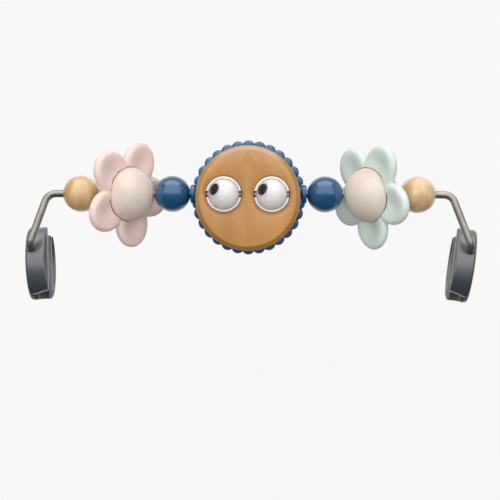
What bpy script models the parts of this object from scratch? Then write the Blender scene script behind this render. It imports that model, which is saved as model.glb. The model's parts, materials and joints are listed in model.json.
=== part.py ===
"""Toy bar for a baby bouncer, built from its separate pieces.

A bent steel wire carries turned wooden beads, two flowers and a round wooden face with rolling eyes, and ends
in two moulded clips that snap onto the seat's side rails. Lengths are in metres. +X runs along the bar, +Z is
up and the face looks along -Y. The origin lies midway between the two clips, where the rails' axes pass.
"""

import math

import bmesh
import bpy
from mathutils import Matrix, Vector

# Gaps between pieces, and how far cutting bodies run past what they cut
CLEARANCE = 0.0003
BORE_CLEARANCE = 0.0004
OVERRUN = 0.002
MERGE_DISTANCE = 0.00001

# Wire: a straight bar, two splayed legs that slant with the clips, and two short ends that turn back into them
WIRE_DIAMETER = 0.0066
BEAD_ROOM = 0.0138
ELBOW_RADIUS = 0.0100
LEG_FALL = 0.0473
LEG_SPLAY = {"left": math.radians(17.3), "right": math.radians(19.4)}
STUB_BEND_RADIUS = 0.0066

# Beads, in order from the face outwards
WASHER_DIAMETER = 0.0167
WASHER_THICKNESS = 0.0042
WASHER_EDGE_RADIUS = 0.0014
WASHER_RECESS = 0.00385
SMALL_BALL_DIAMETER = 0.0318
FLOWER_BALL_DIAMETER = 0.0483

# Flower: a moulded five-petal plate held between two half balls
PETAL_COUNT = 5
PETAL_LENGTH = 0.0400
PETAL_BREADTH = 0.0364
PETAL_OUTSET = 0.00405
PETAL_THICKNESS = 0.0080
PETAL_PLATE_OFFSET = 0.0013
PETAL_FRONT_DISH = 0.0024
PETAL_BACK_DISH = 0.0012
PETAL_HUB_INSET = 0.00415
PETAL_HUB_THICKNESS = 0.0056
PETAL_WEB_THICKNESS = 0.0034
FLOWER_TURN = math.radians(52.2)
FLOWER_PHASE = {"left": math.radians(-9.9), "right": math.radians(-9.2)}
FLOWER_TILT = {"left": math.radians(5.0), "right": math.radians(7.4)}
FLOWER_DOWEL_DIAMETER = 0.0050
FLOWER_DOWEL_LENGTH_SHARE = 0.497
FLOWER_DOWEL_OFFSET_SHARE = 0.29

# Face: a wooden disc, a scalloped wheel that holds the bore, and a plain wooden disc behind
EYE_TO_RIM = 0.0064
EYE_BRIDGE = 0.0048
EYE_HOLE_FLOOR = 0.0019
BACK_DISC_THICKNESS = 0.0160
DISC_CHAMFER = 0.0036
DISC_REAR_CHAMFER = 0.0008
FACE_DROP = 0.0030
WHEEL_THICKNESS = 0.0112
LOBE_COUNT = 30
LOBE_INSET = 0.0011
LOBE_FULLNESS_SHARE = 1.291
LOBE_ROUNDING_SHARE = 0.605
SPOT_FACE_DIAMETER = 0.0186
FACE_DOWEL_COUNT = 3
FACE_DOWEL_DIAMETER = 0.0060
FACE_DOWEL_DEPTH = 0.0080
FACE_DOWEL_INSET = 0.0102

# Eyes: a pot let into the face, with a ball that rolls on two short axle stubs
EYE_RISE = 0.00345
EYEBALL_DIAMETER = 0.0264
EYEBALL_SETBACK = 0.0020
EYE_RUNNING_GAP = 0.0004
EYE_AXLE_DIAMETER = 0.0026
EYE_AXLE_REACH = 0.0015
CUP_WALL = 0.0017
CUP_FLOOR = 0.0010
CUP_RECESS = 0.0012
CUP_EDGE_RADIUS = 0.0006
CUP_HEEL_ANGLE = math.radians(35)
EYE_HOLE_BEVEL = 0.0026
PUPIL_DIAMETER = 0.0104
PUPIL_RIM_HEIGHT = 0.00023
GAZE_LEFT = math.radians(40.95)
GAZE_UP = math.radians(20.86)

# Rail clip: an oval pot, open towards the seat, with two jaws that grip the rail
CLIP_HEIGHT = 0.0660
CLIP_DEPTH = 0.0480
CLIP_WIDTH = 0.0184
CLIP_EDGE_RADIUS = 0.0030
CLIP_INNER_EDGE_SHARE = 0.8
CLIP_PITCH = math.radians(15)
CLIP_LEAN = {"left": math.radians(4.0), "right": math.radians(8.7)}
CLIP_WALL = 0.0020
CLIP_BACK_WALL = 0.0035
JAW_THICKNESS = 0.0034
JAW_END_HEIGHT = 0.0262
JAW_END_SLOPE = math.radians(13)
RIM_SCOOP_LENGTH = 0.0540
RIM_SCOOP_DEPTH = 0.0014
JAW_RECESS = 0.0008
CHANNEL_WIDTH = 0.0135
CHANNEL_CORNER_RADIUS = 0.0035
LIP_REACH = 0.0010
LIP_LENGTH = 0.0026
STUB_RISE = 0.0100
STUB_OUTER_WALL = 0.0019
STUB_STANDOFF = 0.0066
STUB_BOSS_WALL = 0.0024

# Facet counts
BALL_STEPS = 20
BALL_ARC_STEPS = 9
EYEBALL_STEPS = 20
EYEBALL_ARC_STEPS = 8
FLOWER_BALL_STEPS = 24
HALF_BALL_ARC_STEPS = 5
DISC_STEPS = 48
WASHER_STEPS = 20
CUP_STEPS = 20
PUPIL_STEPS = 20
PIN_STEPS = 12
BORE_STEPS = 16
PETAL_STEPS = 20
PETAL_RIM_STEPS = 4
DISH_ARC_STEPS = 3
LOBE_ARC_STEPS = 4
CLIP_ARC_STEPS = 36
BEND_STEPS = 6

# Places that follow from the sizes above
WIRE_RADIUS = WIRE_DIAMETER / 2
BORE_RADIUS = WIRE_RADIUS + BORE_CLEARANCE
CLIP_TURN = Matrix.Rotation(-CLIP_PITCH, 3, "X")
STUB_VERTEX = CLIP_TURN @ Vector((0, -CLIP_DEPTH / 2 - STUB_STANDOFF, STUB_RISE))
WIRE_PLACE = STUB_VERTEX + CLIP_TURN @ Vector((0, 0, LEG_FALL))
WIRE_Y = WIRE_PLACE.y
WIRE_Z = WIRE_PLACE.z
CUP_RADIUS = EYEBALL_DIAMETER / 2 + EYE_RUNNING_GAP + CUP_WALL
EYE_HOLE_RADIUS = CUP_RADIUS + CLEARANCE
EYE_HOLE_DEPTH = EYEBALL_DIAMETER / 2 + EYE_RUNNING_GAP + CUP_FLOOR + CLEARANCE
EYE_SPACING = 2 * (EYE_HOLE_RADIUS + EYE_HOLE_BEVEL) + EYE_BRIDGE
FACE_DISC_DIAMETER = EYE_SPACING + 2 * (EYE_HOLE_RADIUS + EYE_HOLE_BEVEL + EYE_TO_RIM)
FACE_DISC_THICKNESS = CUP_RECESS + EYEBALL_SETBACK + EYE_HOLE_DEPTH + EYE_HOLE_FLOOR
FACE_DOWEL_CIRCLE_RADIUS = FACE_DISC_DIAMETER / 2 - FACE_DOWEL_INSET
DISC_START = WHEEL_THICKNESS / 2 + CLEARANCE
CUP_FACE = DISC_START + FACE_DISC_THICKNESS - CUP_RECESS
EYE_CENTRE_DEPTH = CUP_FACE - EYEBALL_SETBACK
LOBE_CENTRE_RADIUS = FACE_DISC_DIAMETER / 2 - LOBE_INSET
LOBE_RADIUS = LOBE_CENTRE_RADIUS * math.sin(math.pi / LOBE_COUNT) * LOBE_FULLNESS_SHARE
LOBE_ROUNDING = LOBE_RADIUS * LOBE_ROUNDING_SHARE
WASHER_SEAT = LOBE_CENTRE_RADIUS + LOBE_RADIUS - WASHER_RECESS
WASHER_X = WASHER_SEAT + CLEARANCE + WASHER_THICKNESS / 2
INNER_BALL_X = WASHER_X + (WASHER_THICKNESS + SMALL_BALL_DIAMETER) / 2 + CLEARANCE
FLOWER_X = INNER_BALL_X + (SMALL_BALL_DIAMETER + FLOWER_BALL_DIAMETER) / 2 + CLEARANCE
END_BALL_X = FLOWER_X + (FLOWER_BALL_DIAMETER + SMALL_BALL_DIAMETER) / 2 + CLEARANCE
ELBOW_HALF_SPAN = END_BALL_X + SMALL_BALL_DIAMETER / 2 + BEAD_ROOM
LEG_REACH = {side: ELBOW_HALF_SPAN + LEG_FALL * math.tan(splay) for side, splay in LEG_SPLAY.items()}
PETAL_HUB_RADIUS = FLOWER_BALL_DIAMETER / 2 - PETAL_HUB_INSET
PETAL_CENTRE_RADIUS = FLOWER_BALL_DIAMETER / 2 + PETAL_OUTSET
FLOWER_DOWEL_LENGTH = FLOWER_BALL_DIAMETER * FLOWER_DOWEL_LENGTH_SHARE
FLOWER_DOWEL_OFFSET = FLOWER_BALL_DIAMETER * FLOWER_DOWEL_OFFSET_SHARE
STUB_OFFSET = CLIP_WIDTH / 2 - STUB_OUTER_WALL - CLEARANCE - WIRE_RADIUS

# Quarter turns that lay a piece's own Z axis along the bar, towards the front or towards the back
ALONG_BAR = (0, math.pi / 2, 0)
TO_FRONT = (math.pi / 2, 0, 0)
TO_BACK = (-math.pi / 2, 0, 0)
OUTLINE_ACROSS_BAR = (math.pi / 2, 0, math.pi / 2)

SIDES = (("left", -1), ("right", 1))


def clear_scene():
    for item in list(bpy.data.objects):
        bpy.data.objects.remove(item, do_unlink=True)


def make_collection(name):
    collection = bpy.data.collections.new(name)
    bpy.context.scene.collection.children.link(collection)
    return collection


def make_material(name, colour, roughness, metallic=0.0):
    material = bpy.data.materials.new(name)
    material.use_nodes = True
    shader = material.node_tree.nodes["Principled BSDF"]
    shader.inputs["Base Color"].default_value = (*colour, 1)
    shader.inputs["Roughness"].default_value = roughness
    shader.inputs["Metallic"].default_value = metallic
    material.diffuse_color = (*colour, 1)
    return material


clear_scene()
PARTS = make_collection("bouncer_toy_bar")
CUTTERS = make_collection("cutters")

STEEL = make_material("satin_steel", (0.30, 0.28, 0.25), 0.38, 1.0)
BEECH = make_material("oiled_beech", (0.72, 0.45, 0.19), 0.5)
PALE_BEECH = make_material("washed_beech", (0.76, 0.66, 0.54), 0.55)
FACE_WOOD = make_material("face_wood", (0.52, 0.27, 0.11), 0.45)
BLUE = make_material("blue_lacquer", (0.02, 0.06, 0.17), 0.3)
PINK = make_material("pink_petals", (0.73, 0.49, 0.44), 0.5)
MINT = make_material("mint_petals", (0.57, 0.68, 0.61), 0.5)
WHITE = make_material("white_eye", (0.86, 0.85, 0.82), 0.25)
BLACK = make_material("black_pupil", (0.01, 0.01, 0.01), 0.1)
GREY = make_material("grey_clip", (0.08, 0.09, 0.10), 0.45)


def add_object(name, mesh, material=None, parent=None, location=(0, 0, 0), rotation=(0, 0, 0)):
    """Link a mesh as a piece, or as a hidden cutting body when it has no material."""
    item = bpy.data.objects.new(name, mesh)
    (PARTS if material else CUTTERS).objects.link(item)
    if material:
        item.data.materials.append(material)
    else:
        item.hide_render = True
        item.display_type = "WIRE"
    item.parent = parent
    item.location = location
    item.rotation_euler = rotation
    return item


def add_empty(name, location, rotation=(0, 0, 0)):
    """An empty that marks a joint's axis or a seat, and carries the pieces that belong to it."""
    item = bpy.data.objects.new(name, None)
    PARTS.objects.link(item)
    item.empty_display_size = WIRE_DIAMETER
    item.location = location
    item.rotation_euler = rotation
    return item


def combine(item, other, operation):
    boolean = item.modifiers.new(other.name, "BOOLEAN")
    boolean.operation = operation
    boolean.object = other


def cut(item, cutter):
    combine(item, cutter, "DIFFERENCE")


def shade_smooth(mesh, sharp_angle=math.radians(35)):
    mesh.shade_smooth()
    mesh.set_sharp_from_angle(angle=sharp_angle)


def turned_mesh(name, profile, closed):
    """A mesh of one profile, given as (radius, height) pairs that run down the outer side."""
    mesh = bpy.data.meshes.new(name)
    points = [(radius, 0, height) for radius, height in profile]
    edges = [(i, i + 1) for i in range(len(points) - 1)]
    if closed:
        edges.append((len(points) - 1, 0))
    mesh.from_pydata(points, edges, [])
    return mesh


def turned(name, profile, steps, closed=False, **placing):
    """A turned piece: its profile is swept once round its own Z axis."""
    item = add_object(name, turned_mesh(name, profile, closed), **placing)
    screw = item.modifiers.new("turn", "SCREW")
    screw.steps = steps
    screw.render_steps = steps
    screw.use_merge_vertices = True
    screw.merge_threshold = MERGE_DISTANCE
    screw.use_smooth_shade = True
    return item


def arc(centre, radius, start, end, steps):
    """Points on a circle, as (x, y) pairs, from the start angle to the end angle."""
    turn = (end - start) / steps
    return [
        (centre[0] + radius * math.cos(start + i * turn), centre[1] + radius * math.sin(start + i * turn))
        for i in range(steps + 1)
    ]


def cylinder(name, radius, length, sides, **placing):
    """A plain cylinder, centred on its own Z axis."""
    mesh = bpy.data.meshes.new(name)
    shape = bmesh.new()
    bmesh.ops.create_cone(
        shape, cap_ends=True, segments=sides, radius1=radius, radius2=radius, depth=length
    )
    shape.to_mesh(mesh)
    shape.free()
    shade_smooth(mesh)
    return add_object(name, mesh, **placing)


def mesh_of_curve(curve_object):
    """The evaluated curve as a welded mesh whose faces point outwards. The curve is removed."""
    bpy.context.view_layer.update()
    evaluated = curve_object.evaluated_get(bpy.context.evaluated_depsgraph_get())
    mesh = bpy.data.meshes.new_from_object(evaluated)
    curve = curve_object.data
    bpy.data.objects.remove(curve_object, do_unlink=True)
    bpy.data.curves.remove(curve)
    shape = bmesh.new()
    shape.from_mesh(mesh)
    bmesh.ops.remove_doubles(shape, verts=shape.verts, dist=MERGE_DISTANCE)
    bmesh.ops.recalc_face_normals(shape, faces=shape.faces)
    shape.to_mesh(mesh)
    shape.free()
    return mesh


def plate_mesh(name, outline, thickness, upper_weight=0.0, lower_weight=0.0):
    """A flat plate from a closed outline in its own XY plane, centred on Z, with one face on each side.

    The weights mark the rims of its upper and lower face, for a bevel to follow.
    """
    curve = bpy.data.curves.new(name, "CURVE")
    curve.dimensions = "2D"
    curve.fill_mode = "BOTH"
    curve.extrude = thickness / 2
    spline = curve.splines.new("POLY")
    spline.points.add(len(outline) - 1)
    for point, (x, y) in zip(spline.points, outline):
        point.co = (x, y, 0, 1)
    spline.use_cyclic_u = True
    guide = bpy.data.objects.new(name, curve)
    CUTTERS.objects.link(guide)
    mesh = mesh_of_curve(guide)
    mesh.materials.clear()

    shape = bmesh.new()
    shape.from_mesh(mesh)
    inner_edges = [
        edge for edge in shape.edges
        if len(edge.link_faces) == 2 and all(abs(face.normal.z) > 0.9 for face in edge.link_faces)
    ]
    bmesh.ops.dissolve_edges(shape, edges=inner_edges, use_verts=False)
    weight = shape.edges.layers.float.new("bevel_weight_edge")
    for edge in shape.edges:
        heights = [vertex.co.z for vertex in edge.verts]
        if min(heights) > 0:
            edge[weight] = upper_weight
        elif max(heights) < 0:
            edge[weight] = lower_weight
    shape.to_mesh(mesh)
    shape.free()
    return mesh


def round_rims(item, width, segments):
    bevel = item.modifiers.new("rims", "BEVEL")
    bevel.limit_method = "WEIGHT"
    bevel.width = width
    bevel.segments = segments
    bevel.use_clamp_overlap = True


def bead_profile(radius):
    """A ball with a straight bore: the outer arc between the two mouths, closed by the bore's wall."""
    mouth = math.acos(BORE_RADIUS / radius)
    return arc((0, 0), radius, mouth, -mouth, BALL_ARC_STEPS)


def bend_points(vertex, incoming, outgoing, radius):
    """Points on the arc that rounds the corner between two directions."""
    turn = incoming.angle(outgoing)
    start = vertex - incoming * radius * math.tan(turn / 2)
    sideways = (outgoing - incoming * math.cos(turn)).normalized()
    centre = start + sideways * radius
    return [
        centre + radius * (incoming * math.sin(i * turn / BEND_STEPS) - sideways * math.cos(i * turn / BEND_STEPS))
        for i in range(BEND_STEPS + 1)
    ]


def wire_leg(side, sign):
    """The wire's middle line from one elbow down the leg to the end inside the clip."""
    outward = Vector((sign, 0, 0))
    backwards = CLIP_TURN @ Vector((0, 1, 0))
    elbow = WIRE_PLACE + outward * ELBOW_HALF_SPAN
    foot = STUB_VERTEX + outward * LEG_REACH[side]
    down = (foot - elbow).normalized()
    stub_length = STUB_STANDOFF + CLIP_DEPTH / 2 - CHANNEL_WIDTH / 2 - JAW_THICKNESS - CLEARANCE
    points = bend_points(elbow, outward, down, ELBOW_RADIUS)
    points += bend_points(foot, down, backwards, STUB_BEND_RADIUS)
    return points + [foot + backwards * stub_length]


def bar_wire():
    """The wire, from the end inside the left clip to the end inside the right one."""
    left, right = [wire_leg(side, sign) for side, sign in SIDES]
    route = left[::-1] + right

    curve = bpy.data.curves.new("bar_wire", "CURVE")
    curve.dimensions = "3D"
    curve.bevel_depth = WIRE_RADIUS
    curve.bevel_resolution = 4
    curve.use_fill_caps = True
    spline = curve.splines.new("POLY")
    spline.points.add(len(route) - 1)
    for point, place in zip(spline.points, route):
        point.co = (*place, 1)
    spline.use_smooth = True
    add_object("bar_wire", curve, material=STEEL)


def beads(side, sign):
    """The washer and the two small balls that turn freely on the wire on one side of the face."""
    washer_radius = WASHER_DIAMETER / 2
    half = WASHER_THICKNESS / 2
    corner = washer_radius - WASHER_EDGE_RADIUS
    rim = arc((corner, half - WASHER_EDGE_RADIUS), WASHER_EDGE_RADIUS, math.pi / 2, 0, 2)
    rim += arc((corner, WASHER_EDGE_RADIUS - half), WASHER_EDGE_RADIUS, 0, -math.pi / 2, 2)
    washer = [(BORE_RADIUS, half)] + rim + [(BORE_RADIUS, -half)]
    turned(
        f"{side}_washer", washer, WASHER_STEPS, closed=True, material=BLUE,
        location=(sign * WASHER_X, WIRE_Y, WIRE_Z), rotation=ALONG_BAR,
    )
    for name, place, finish in (("inner_ball", INNER_BALL_X, BLUE), ("end_ball", END_BALL_X, BEECH)):
        turned(
            f"{side}_{name}", bead_profile(SMALL_BALL_DIAMETER / 2), BALL_STEPS, closed=True,
            material=finish, location=(sign * place, WIRE_Y, WIRE_Z), rotation=ALONG_BAR,
        )


def dish_profile(depth):
    """Points from a dish's middle to just short of its crest, along half a wave."""
    half = PETAL_THICKNESS / 2
    crest = PETAL_BREADTH / 2 - half
    return [
        (crest * i / DISH_ARC_STEPS, half - depth * (1 + math.cos(math.pi * i / DISH_ARC_STEPS)) / 2)
        for i in range(DISH_ARC_STEPS)
    ]


def petal_profile():
    """A petal's section from its middle outwards: a dished front, a round rim and a dished back."""
    half = PETAL_THICKNESS / 2
    rim = arc((PETAL_BREADTH / 2 - half, 0), half, math.pi / 2, -math.pi / 2, PETAL_RIM_STEPS)
    back = [(radius, -height) for radius, height in reversed(dish_profile(PETAL_BACK_DISH))]
    return dish_profile(PETAL_FRONT_DISH) + rim + back


def petal_plate(side, pivot, turn, material):
    """Five round-rimmed oval petals that grow together into a flat hub."""
    middle = Vector((0, 0, PETAL_PLATE_OFFSET))
    plate = cylinder(
        f"{side}_petals", PETAL_HUB_RADIUS, PETAL_HUB_THICKNESS, FLOWER_BALL_STEPS,
        material=material, parent=pivot, location=turn @ middle, rotation=turn.to_euler(),
    )
    for i in range(PETAL_COUNT):
        outward = turn @ Matrix.Rotation(FLOWER_PHASE[side] + i * 2 * math.pi / PETAL_COUNT, 3, "Z")
        petal = turned(
            f"{side}_petal_{i + 1}", petal_profile(), PETAL_STEPS, parent=pivot,
            location=outward @ (Vector((PETAL_CENTRE_RADIUS, 0, 0)) + middle), rotation=outward.to_euler(),
        )
        petal.scale.x = PETAL_LENGTH / PETAL_BREADTH
        combine(plate, petal, "UNION")
    return plate


def half_ball_profile(start):
    """A ball's cap above a flat cut at the given height."""
    radius = FLOWER_BALL_DIAMETER / 2
    cap = arc((0, 0), radius, math.pi / 2, math.asin(start / radius), HALF_BALL_ARC_STEPS)
    return [(0, radius)] + cap[1:] + [(0, start)]


def flower(side, sign, petal_material):
    """A petal plate between two half balls, pinned by two dowels and threaded aslant on the wire."""
    pivot = add_empty(f"{side}_flower_axis", (sign * FLOWER_X, WIRE_Y, WIRE_Z), (FLOWER_TILT[side], 0, 0))
    front = Matrix.Rotation(-sign * FLOWER_TURN, 3, "Z") @ Matrix.Rotation(math.pi / 2, 3, "X")
    back = front @ Matrix.Rotation(math.pi, 3, "X")
    seat_radius = FLOWER_BALL_DIAMETER / 2 + CLEARANCE
    bore = cylinder(
        f"{side}_flower_bore", BORE_RADIUS, FLOWER_BALL_DIAMETER + 2 * OVERRUN, BORE_STEPS,
        parent=pivot, rotation=ALONG_BAR,
    )

    petals = petal_plate(side, pivot, front, petal_material)
    halves = []
    for name, turn, offset in (("front", front, PETAL_PLATE_OFFSET), ("back", back, -PETAL_PLATE_OFFSET)):
        web_face = offset + PETAL_WEB_THICKNESS / 2
        seat = cylinder(
            f"{side}_{name}_seat", seat_radius, PETAL_THICKNESS, FLOWER_BALL_STEPS, parent=pivot,
            location=turn @ Vector((0, 0, web_face + PETAL_THICKNESS / 2)), rotation=turn.to_euler(),
        )
        cut(petals, seat)
        half = turned(
            f"{side}_flower_{name}_half", half_ball_profile(web_face + CLEARANCE), FLOWER_BALL_STEPS,
            material=PALE_BEECH, parent=pivot, rotation=turn.to_euler(),
        )
        cut(half, bore)
        halves.append(half)
    cut(petals, bore)

    for name, height in (("upper", FLOWER_DOWEL_OFFSET), ("lower", -FLOWER_DOWEL_OFFSET)):
        place = {"parent": pivot, "location": (0, 0, height), "rotation": front.to_euler()}
        radius = FLOWER_DOWEL_DIAMETER / 2
        hole = cylinder(
            f"{side}_{name}_dowel_hole", radius + CLEARANCE, FLOWER_DOWEL_LENGTH + 2 * CLEARANCE, PIN_STEPS, **place
        )
        for piece in (petals, *halves):
            cut(piece, hole)
        cylinder(
            f"{side}_flower_{name}_dowel", radius, FLOWER_DOWEL_LENGTH, PIN_STEPS, material=BEECH, **place
        )


def scallop_outline():
    """Round lobes on a circle: each lobe's arc between the valleys that it shares with its neighbours."""
    half_pitch = math.pi / LOBE_COUNT
    across = LOBE_CENTRE_RADIUS * math.sin(half_pitch)
    half_arc = math.pi / 2 + half_pitch - math.acos(across / LOBE_RADIUS)
    outline = []
    for lobe in range(LOBE_COUNT):
        middle = math.pi / 2 + lobe * 2 * half_pitch
        centre = (LOBE_CENTRE_RADIUS * math.cos(middle), LOBE_CENTRE_RADIUS * math.sin(middle))
        outline += arc(centre, LOBE_RADIUS, middle - half_arc, middle + half_arc, LOBE_ARC_STEPS)[:-1]
    return outline


def disc_profile(thickness):
    """A wooden disc with a wide chamfer round its outer face and a fine one round its inner face."""
    radius = FACE_DISC_DIAMETER / 2
    top = DISC_START + thickness
    return [
        (0, top),
        (radius - DISC_CHAMFER, top),
        (radius, top - DISC_CHAMFER),
        (radius, DISC_START + DISC_REAR_CHAMFER),
        (radius - DISC_REAR_CHAMFER, DISC_START),
        (0, DISC_START),
    ]


def cup_profile():
    """An open pot round the eyeball, with its mouth at the height of its face and a rounded foot."""
    inside = EYEBALL_DIAMETER / 2 + EYE_RUNNING_GAP
    outside = CUP_RADIUS
    face = EYEBALL_SETBACK
    edge = CUP_EDGE_RADIUS
    foot = inside + CUP_FLOOR
    bowl = arc((0, 0), inside, -math.pi / 2, 0, 5)
    lip = arc((inside + edge, face - edge), edge, math.pi, math.pi / 2, 2)
    lip += arc((outside - edge, face - edge), edge, math.pi / 2, 0, 2)
    heel = outside * math.sin(CUP_HEEL_ANGLE)
    return [(0, -inside)] + bowl[1:] + lip + [(outside, -heel), (heel, -foot), (0, -foot)]


def eye_hole_profile():
    """The stepped hole for a cup: a bevelled mouth and a straight bore with a flat floor."""
    radius = EYE_HOLE_RADIUS
    surface = CUP_RECESS + EYEBALL_SETBACK
    return [
        (0, surface + OVERRUN),
        (radius + EYE_HOLE_BEVEL + OVERRUN, surface + OVERRUN),
        (radius, surface - EYE_HOLE_BEVEL),
        (radius, -EYE_HOLE_DEPTH),
        (0, -EYE_HOLE_DEPTH),
    ]


def eyeball_profile():
    """A ball with a short axle stub at each pole, turned as one piece."""
    radius = EYEBALL_DIAMETER / 2
    axle = EYE_AXLE_DIAMETER / 2
    end = radius + EYE_AXLE_REACH
    root = math.acos(axle / radius)
    return [(0, end), (axle, end)] + arc((0, 0), radius, root, -root, EYEBALL_ARC_STEPS) + [(axle, -end), (0, -end)]


def pupil_profile(foot):
    """A plug whose top follows the eyeball."""
    ball = EYEBALL_DIAMETER / 2
    radius = PUPIL_DIAMETER / 2
    return arc((0, 0), ball, math.pi / 2, math.acos(radius / ball), 3) + [(radius, foot), (0, foot)]


def axle_slot_outline():
    """A U-shaped slot that is open towards the front and round at the axle."""
    half = EYE_AXLE_DIAMETER / 2 + EYE_RUNNING_GAP
    return arc((0, 0), half, math.pi, 2 * math.pi, 6) + [
        (half, EYEBALL_SETBACK + OVERRUN), (-half, EYEBALL_SETBACK + OVERRUN)
    ]


def eye(side, sign, pivot, face_disc):
    """One eye: its hole in the face, the cup, and the ball with its pupil, which look up to one side."""
    centre = Vector((sign * EYE_SPACING / 2, -EYE_CENTRE_DEPTH, EYE_RISE - FACE_DROP))
    hole = turned(
        f"{side}_eye_hole", eye_hole_profile(), CUP_STEPS, parent=pivot, location=centre, rotation=TO_FRONT
    )
    cut(face_disc, hole)

    cup = turned(
        f"{side}_eye_cup", cup_profile(), CUP_STEPS,
        material=WHITE, parent=pivot, location=centre, rotation=TO_FRONT,
    )
    slot_mesh = plate_mesh(f"{side}_axle_slot", axle_slot_outline(), 2 * (CUP_RADIUS + OVERRUN))
    slot_turn = Matrix(((0, 0, 1), (0, -1, 0), (1, 0, 0))).to_euler()
    slot = add_object(
        f"{side}_axle_slot", slot_mesh, parent=pivot, location=centre, rotation=slot_turn
    )
    cut(cup, slot)

    roll = add_empty(f"{side}_eye_axis", centre)
    roll.parent = pivot
    ball = turned(
        f"{side}_eyeball", eyeball_profile(), EYEBALL_STEPS, material=WHITE, parent=roll, rotation=ALONG_BAR
    )
    left, up = math.sin(GAZE_LEFT), math.sin(GAZE_UP)
    gaze = Vector((-left, -math.sqrt(1 - left ** 2 - up ** 2), up))
    gaze_turn = gaze.to_track_quat("Z", "Y").to_euler()
    rim = math.sqrt((EYEBALL_DIAMETER / 2) ** 2 - (PUPIL_DIAMETER / 2) ** 2)
    foot = rim - PUPIL_RIM_HEIGHT
    pocket_mouth = EYEBALL_DIAMETER / 2 + OVERRUN
    cut(ball, cylinder(
        f"{side}_pupil_pocket", PUPIL_DIAMETER / 2 + CLEARANCE, 2 * (pocket_mouth - foot + CLEARANCE), PUPIL_STEPS,
        parent=roll, location=gaze * pocket_mouth, rotation=gaze_turn,
    ))
    turned(
        f"{side}_pupil", pupil_profile(foot), PUPIL_STEPS, material=BLACK, parent=roll, rotation=gaze_turn
    )


def face():
    """The face: two wooden discs with the scalloped wheel between them, which turn together on the wire."""
    pivot = add_empty("face_axis", (0, WIRE_Y, WIRE_Z))
    centre = (0, 0, -FACE_DROP)
    mesh = plate_mesh("scalloped_wheel", scallop_outline(), WHEEL_THICKNESS, 1.0, 1.0)
    wheel = add_object("scalloped_wheel", mesh, material=BLUE, parent=pivot, location=centre, rotation=TO_FRONT)
    round_rims(wheel, LOBE_ROUNDING, 2)
    cut(wheel, cylinder(
        "face_bore", BORE_RADIUS, FACE_DISC_DIAMETER * 2, BORE_STEPS, parent=pivot, rotation=ALONG_BAR
    ))
    rim_reach = LOBE_CENTRE_RADIUS + LOBE_RADIUS + OVERRUN - WASHER_SEAT
    for side, sign in SIDES:
        cut(wheel, cylinder(
            f"{side}_spot_face", SPOT_FACE_DIAMETER / 2, rim_reach, WASHER_STEPS,
            parent=pivot, location=(sign * (WASHER_SEAT + rim_reach / 2), 0, 0), rotation=ALONG_BAR,
        ))

    front_disc = turned(
        "face_disc", disc_profile(FACE_DISC_THICKNESS), DISC_STEPS,
        material=FACE_WOOD, parent=pivot, location=centre, rotation=TO_FRONT,
    )
    back_disc = turned(
        "back_disc", disc_profile(BACK_DISC_THICKNESS), DISC_STEPS,
        material=FACE_WOOD, parent=pivot, location=centre, rotation=TO_BACK,
    )
    dowel_length = WHEEL_THICKNESS + 2 * FACE_DOWEL_DEPTH
    for i in range(FACE_DOWEL_COUNT):
        angle = math.pi / 2 + i * 2 * math.pi / FACE_DOWEL_COUNT
        place = {
            "parent": pivot,
            "location": (
                FACE_DOWEL_CIRCLE_RADIUS * math.cos(angle), 0,
                FACE_DOWEL_CIRCLE_RADIUS * math.sin(angle) - FACE_DROP,
            ),
            "rotation": TO_FRONT,
        }
        radius = FACE_DOWEL_DIAMETER / 2
        hole = cylinder(
            f"face_dowel_hole_{i + 1}", radius + CLEARANCE, dowel_length + 2 * CLEARANCE, PIN_STEPS, **place
        )
        for piece in (wheel, front_disc, back_disc):
            cut(piece, hole)
        cylinder(f"face_dowel_{i + 1}", radius, dowel_length, PIN_STEPS, material=BEECH, **place)

    for side, sign in SIDES:
        eye(side, sign, pivot, front_disc)


def oval(depth, height, start=0.0, end=2 * math.pi, steps=CLIP_ARC_STEPS):
    """Points on an upright ellipse, as (depth, height) pairs."""
    turn = (end - start) / steps
    return [
        (depth / 2 * math.cos(start + i * turn), height / 2 * math.sin(start + i * turn))
        for i in range(steps + 1)
    ]


def crescent(facing):
    """The pocket between a straight jaw and the oval rim: an arc closed by its chord."""
    depth = CLIP_DEPTH - 2 * CLIP_WALL
    height = CLIP_HEIGHT - 2 * CLIP_WALL
    jaw = CHANNEL_WIDTH / 2 + JAW_THICKNESS
    reach = math.acos(jaw / (depth / 2))
    points = oval(depth, height, -reach, reach, CLIP_ARC_STEPS // 3)
    return [(facing * x, y) for x, y in points]


def channel_outline(inward):
    """The rail's channel across the clip: a flat floor with round corners, and lips that narrow its mouth."""
    floor = CLIP_BACK_WALL - CLIP_WIDTH / 2
    mouth = CLIP_WIDTH / 2 - JAW_RECESS
    half = CHANNEL_WIDTH / 2
    corner = CHANNEL_CORNER_RADIUS
    one_side = arc((floor + corner, half - corner), corner, math.pi, math.pi / 2, 4)
    one_side += [
        (mouth - 2 * LIP_LENGTH, half),
        (mouth - LIP_LENGTH, half - LIP_REACH),
        (mouth, half),
        (mouth + JAW_RECESS + OVERRUN, half + JAW_RECESS + OVERRUN),
    ]
    outline = one_side + [(x, -y) for x, y in reversed(one_side)]
    return [(inward * x, y) for x, y in outline]


def jaw_end_outline(inward):
    """What is cut off one jaw's end: a corner beyond a slope that falls towards the clip's mouth."""
    mouth = CLIP_WIDTH / 2 + OVERRUN
    rise = 2 * mouth * math.tan(JAW_END_SLOPE)
    top = CLIP_HEIGHT / 2 + OVERRUN + rise
    height = JAW_END_HEIGHT - OVERRUN * math.tan(JAW_END_SLOPE)
    return [(inward * x, y) for x, y in ((mouth, height), (mouth, top), (-mouth, top), (-mouth, height + rise))]


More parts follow.
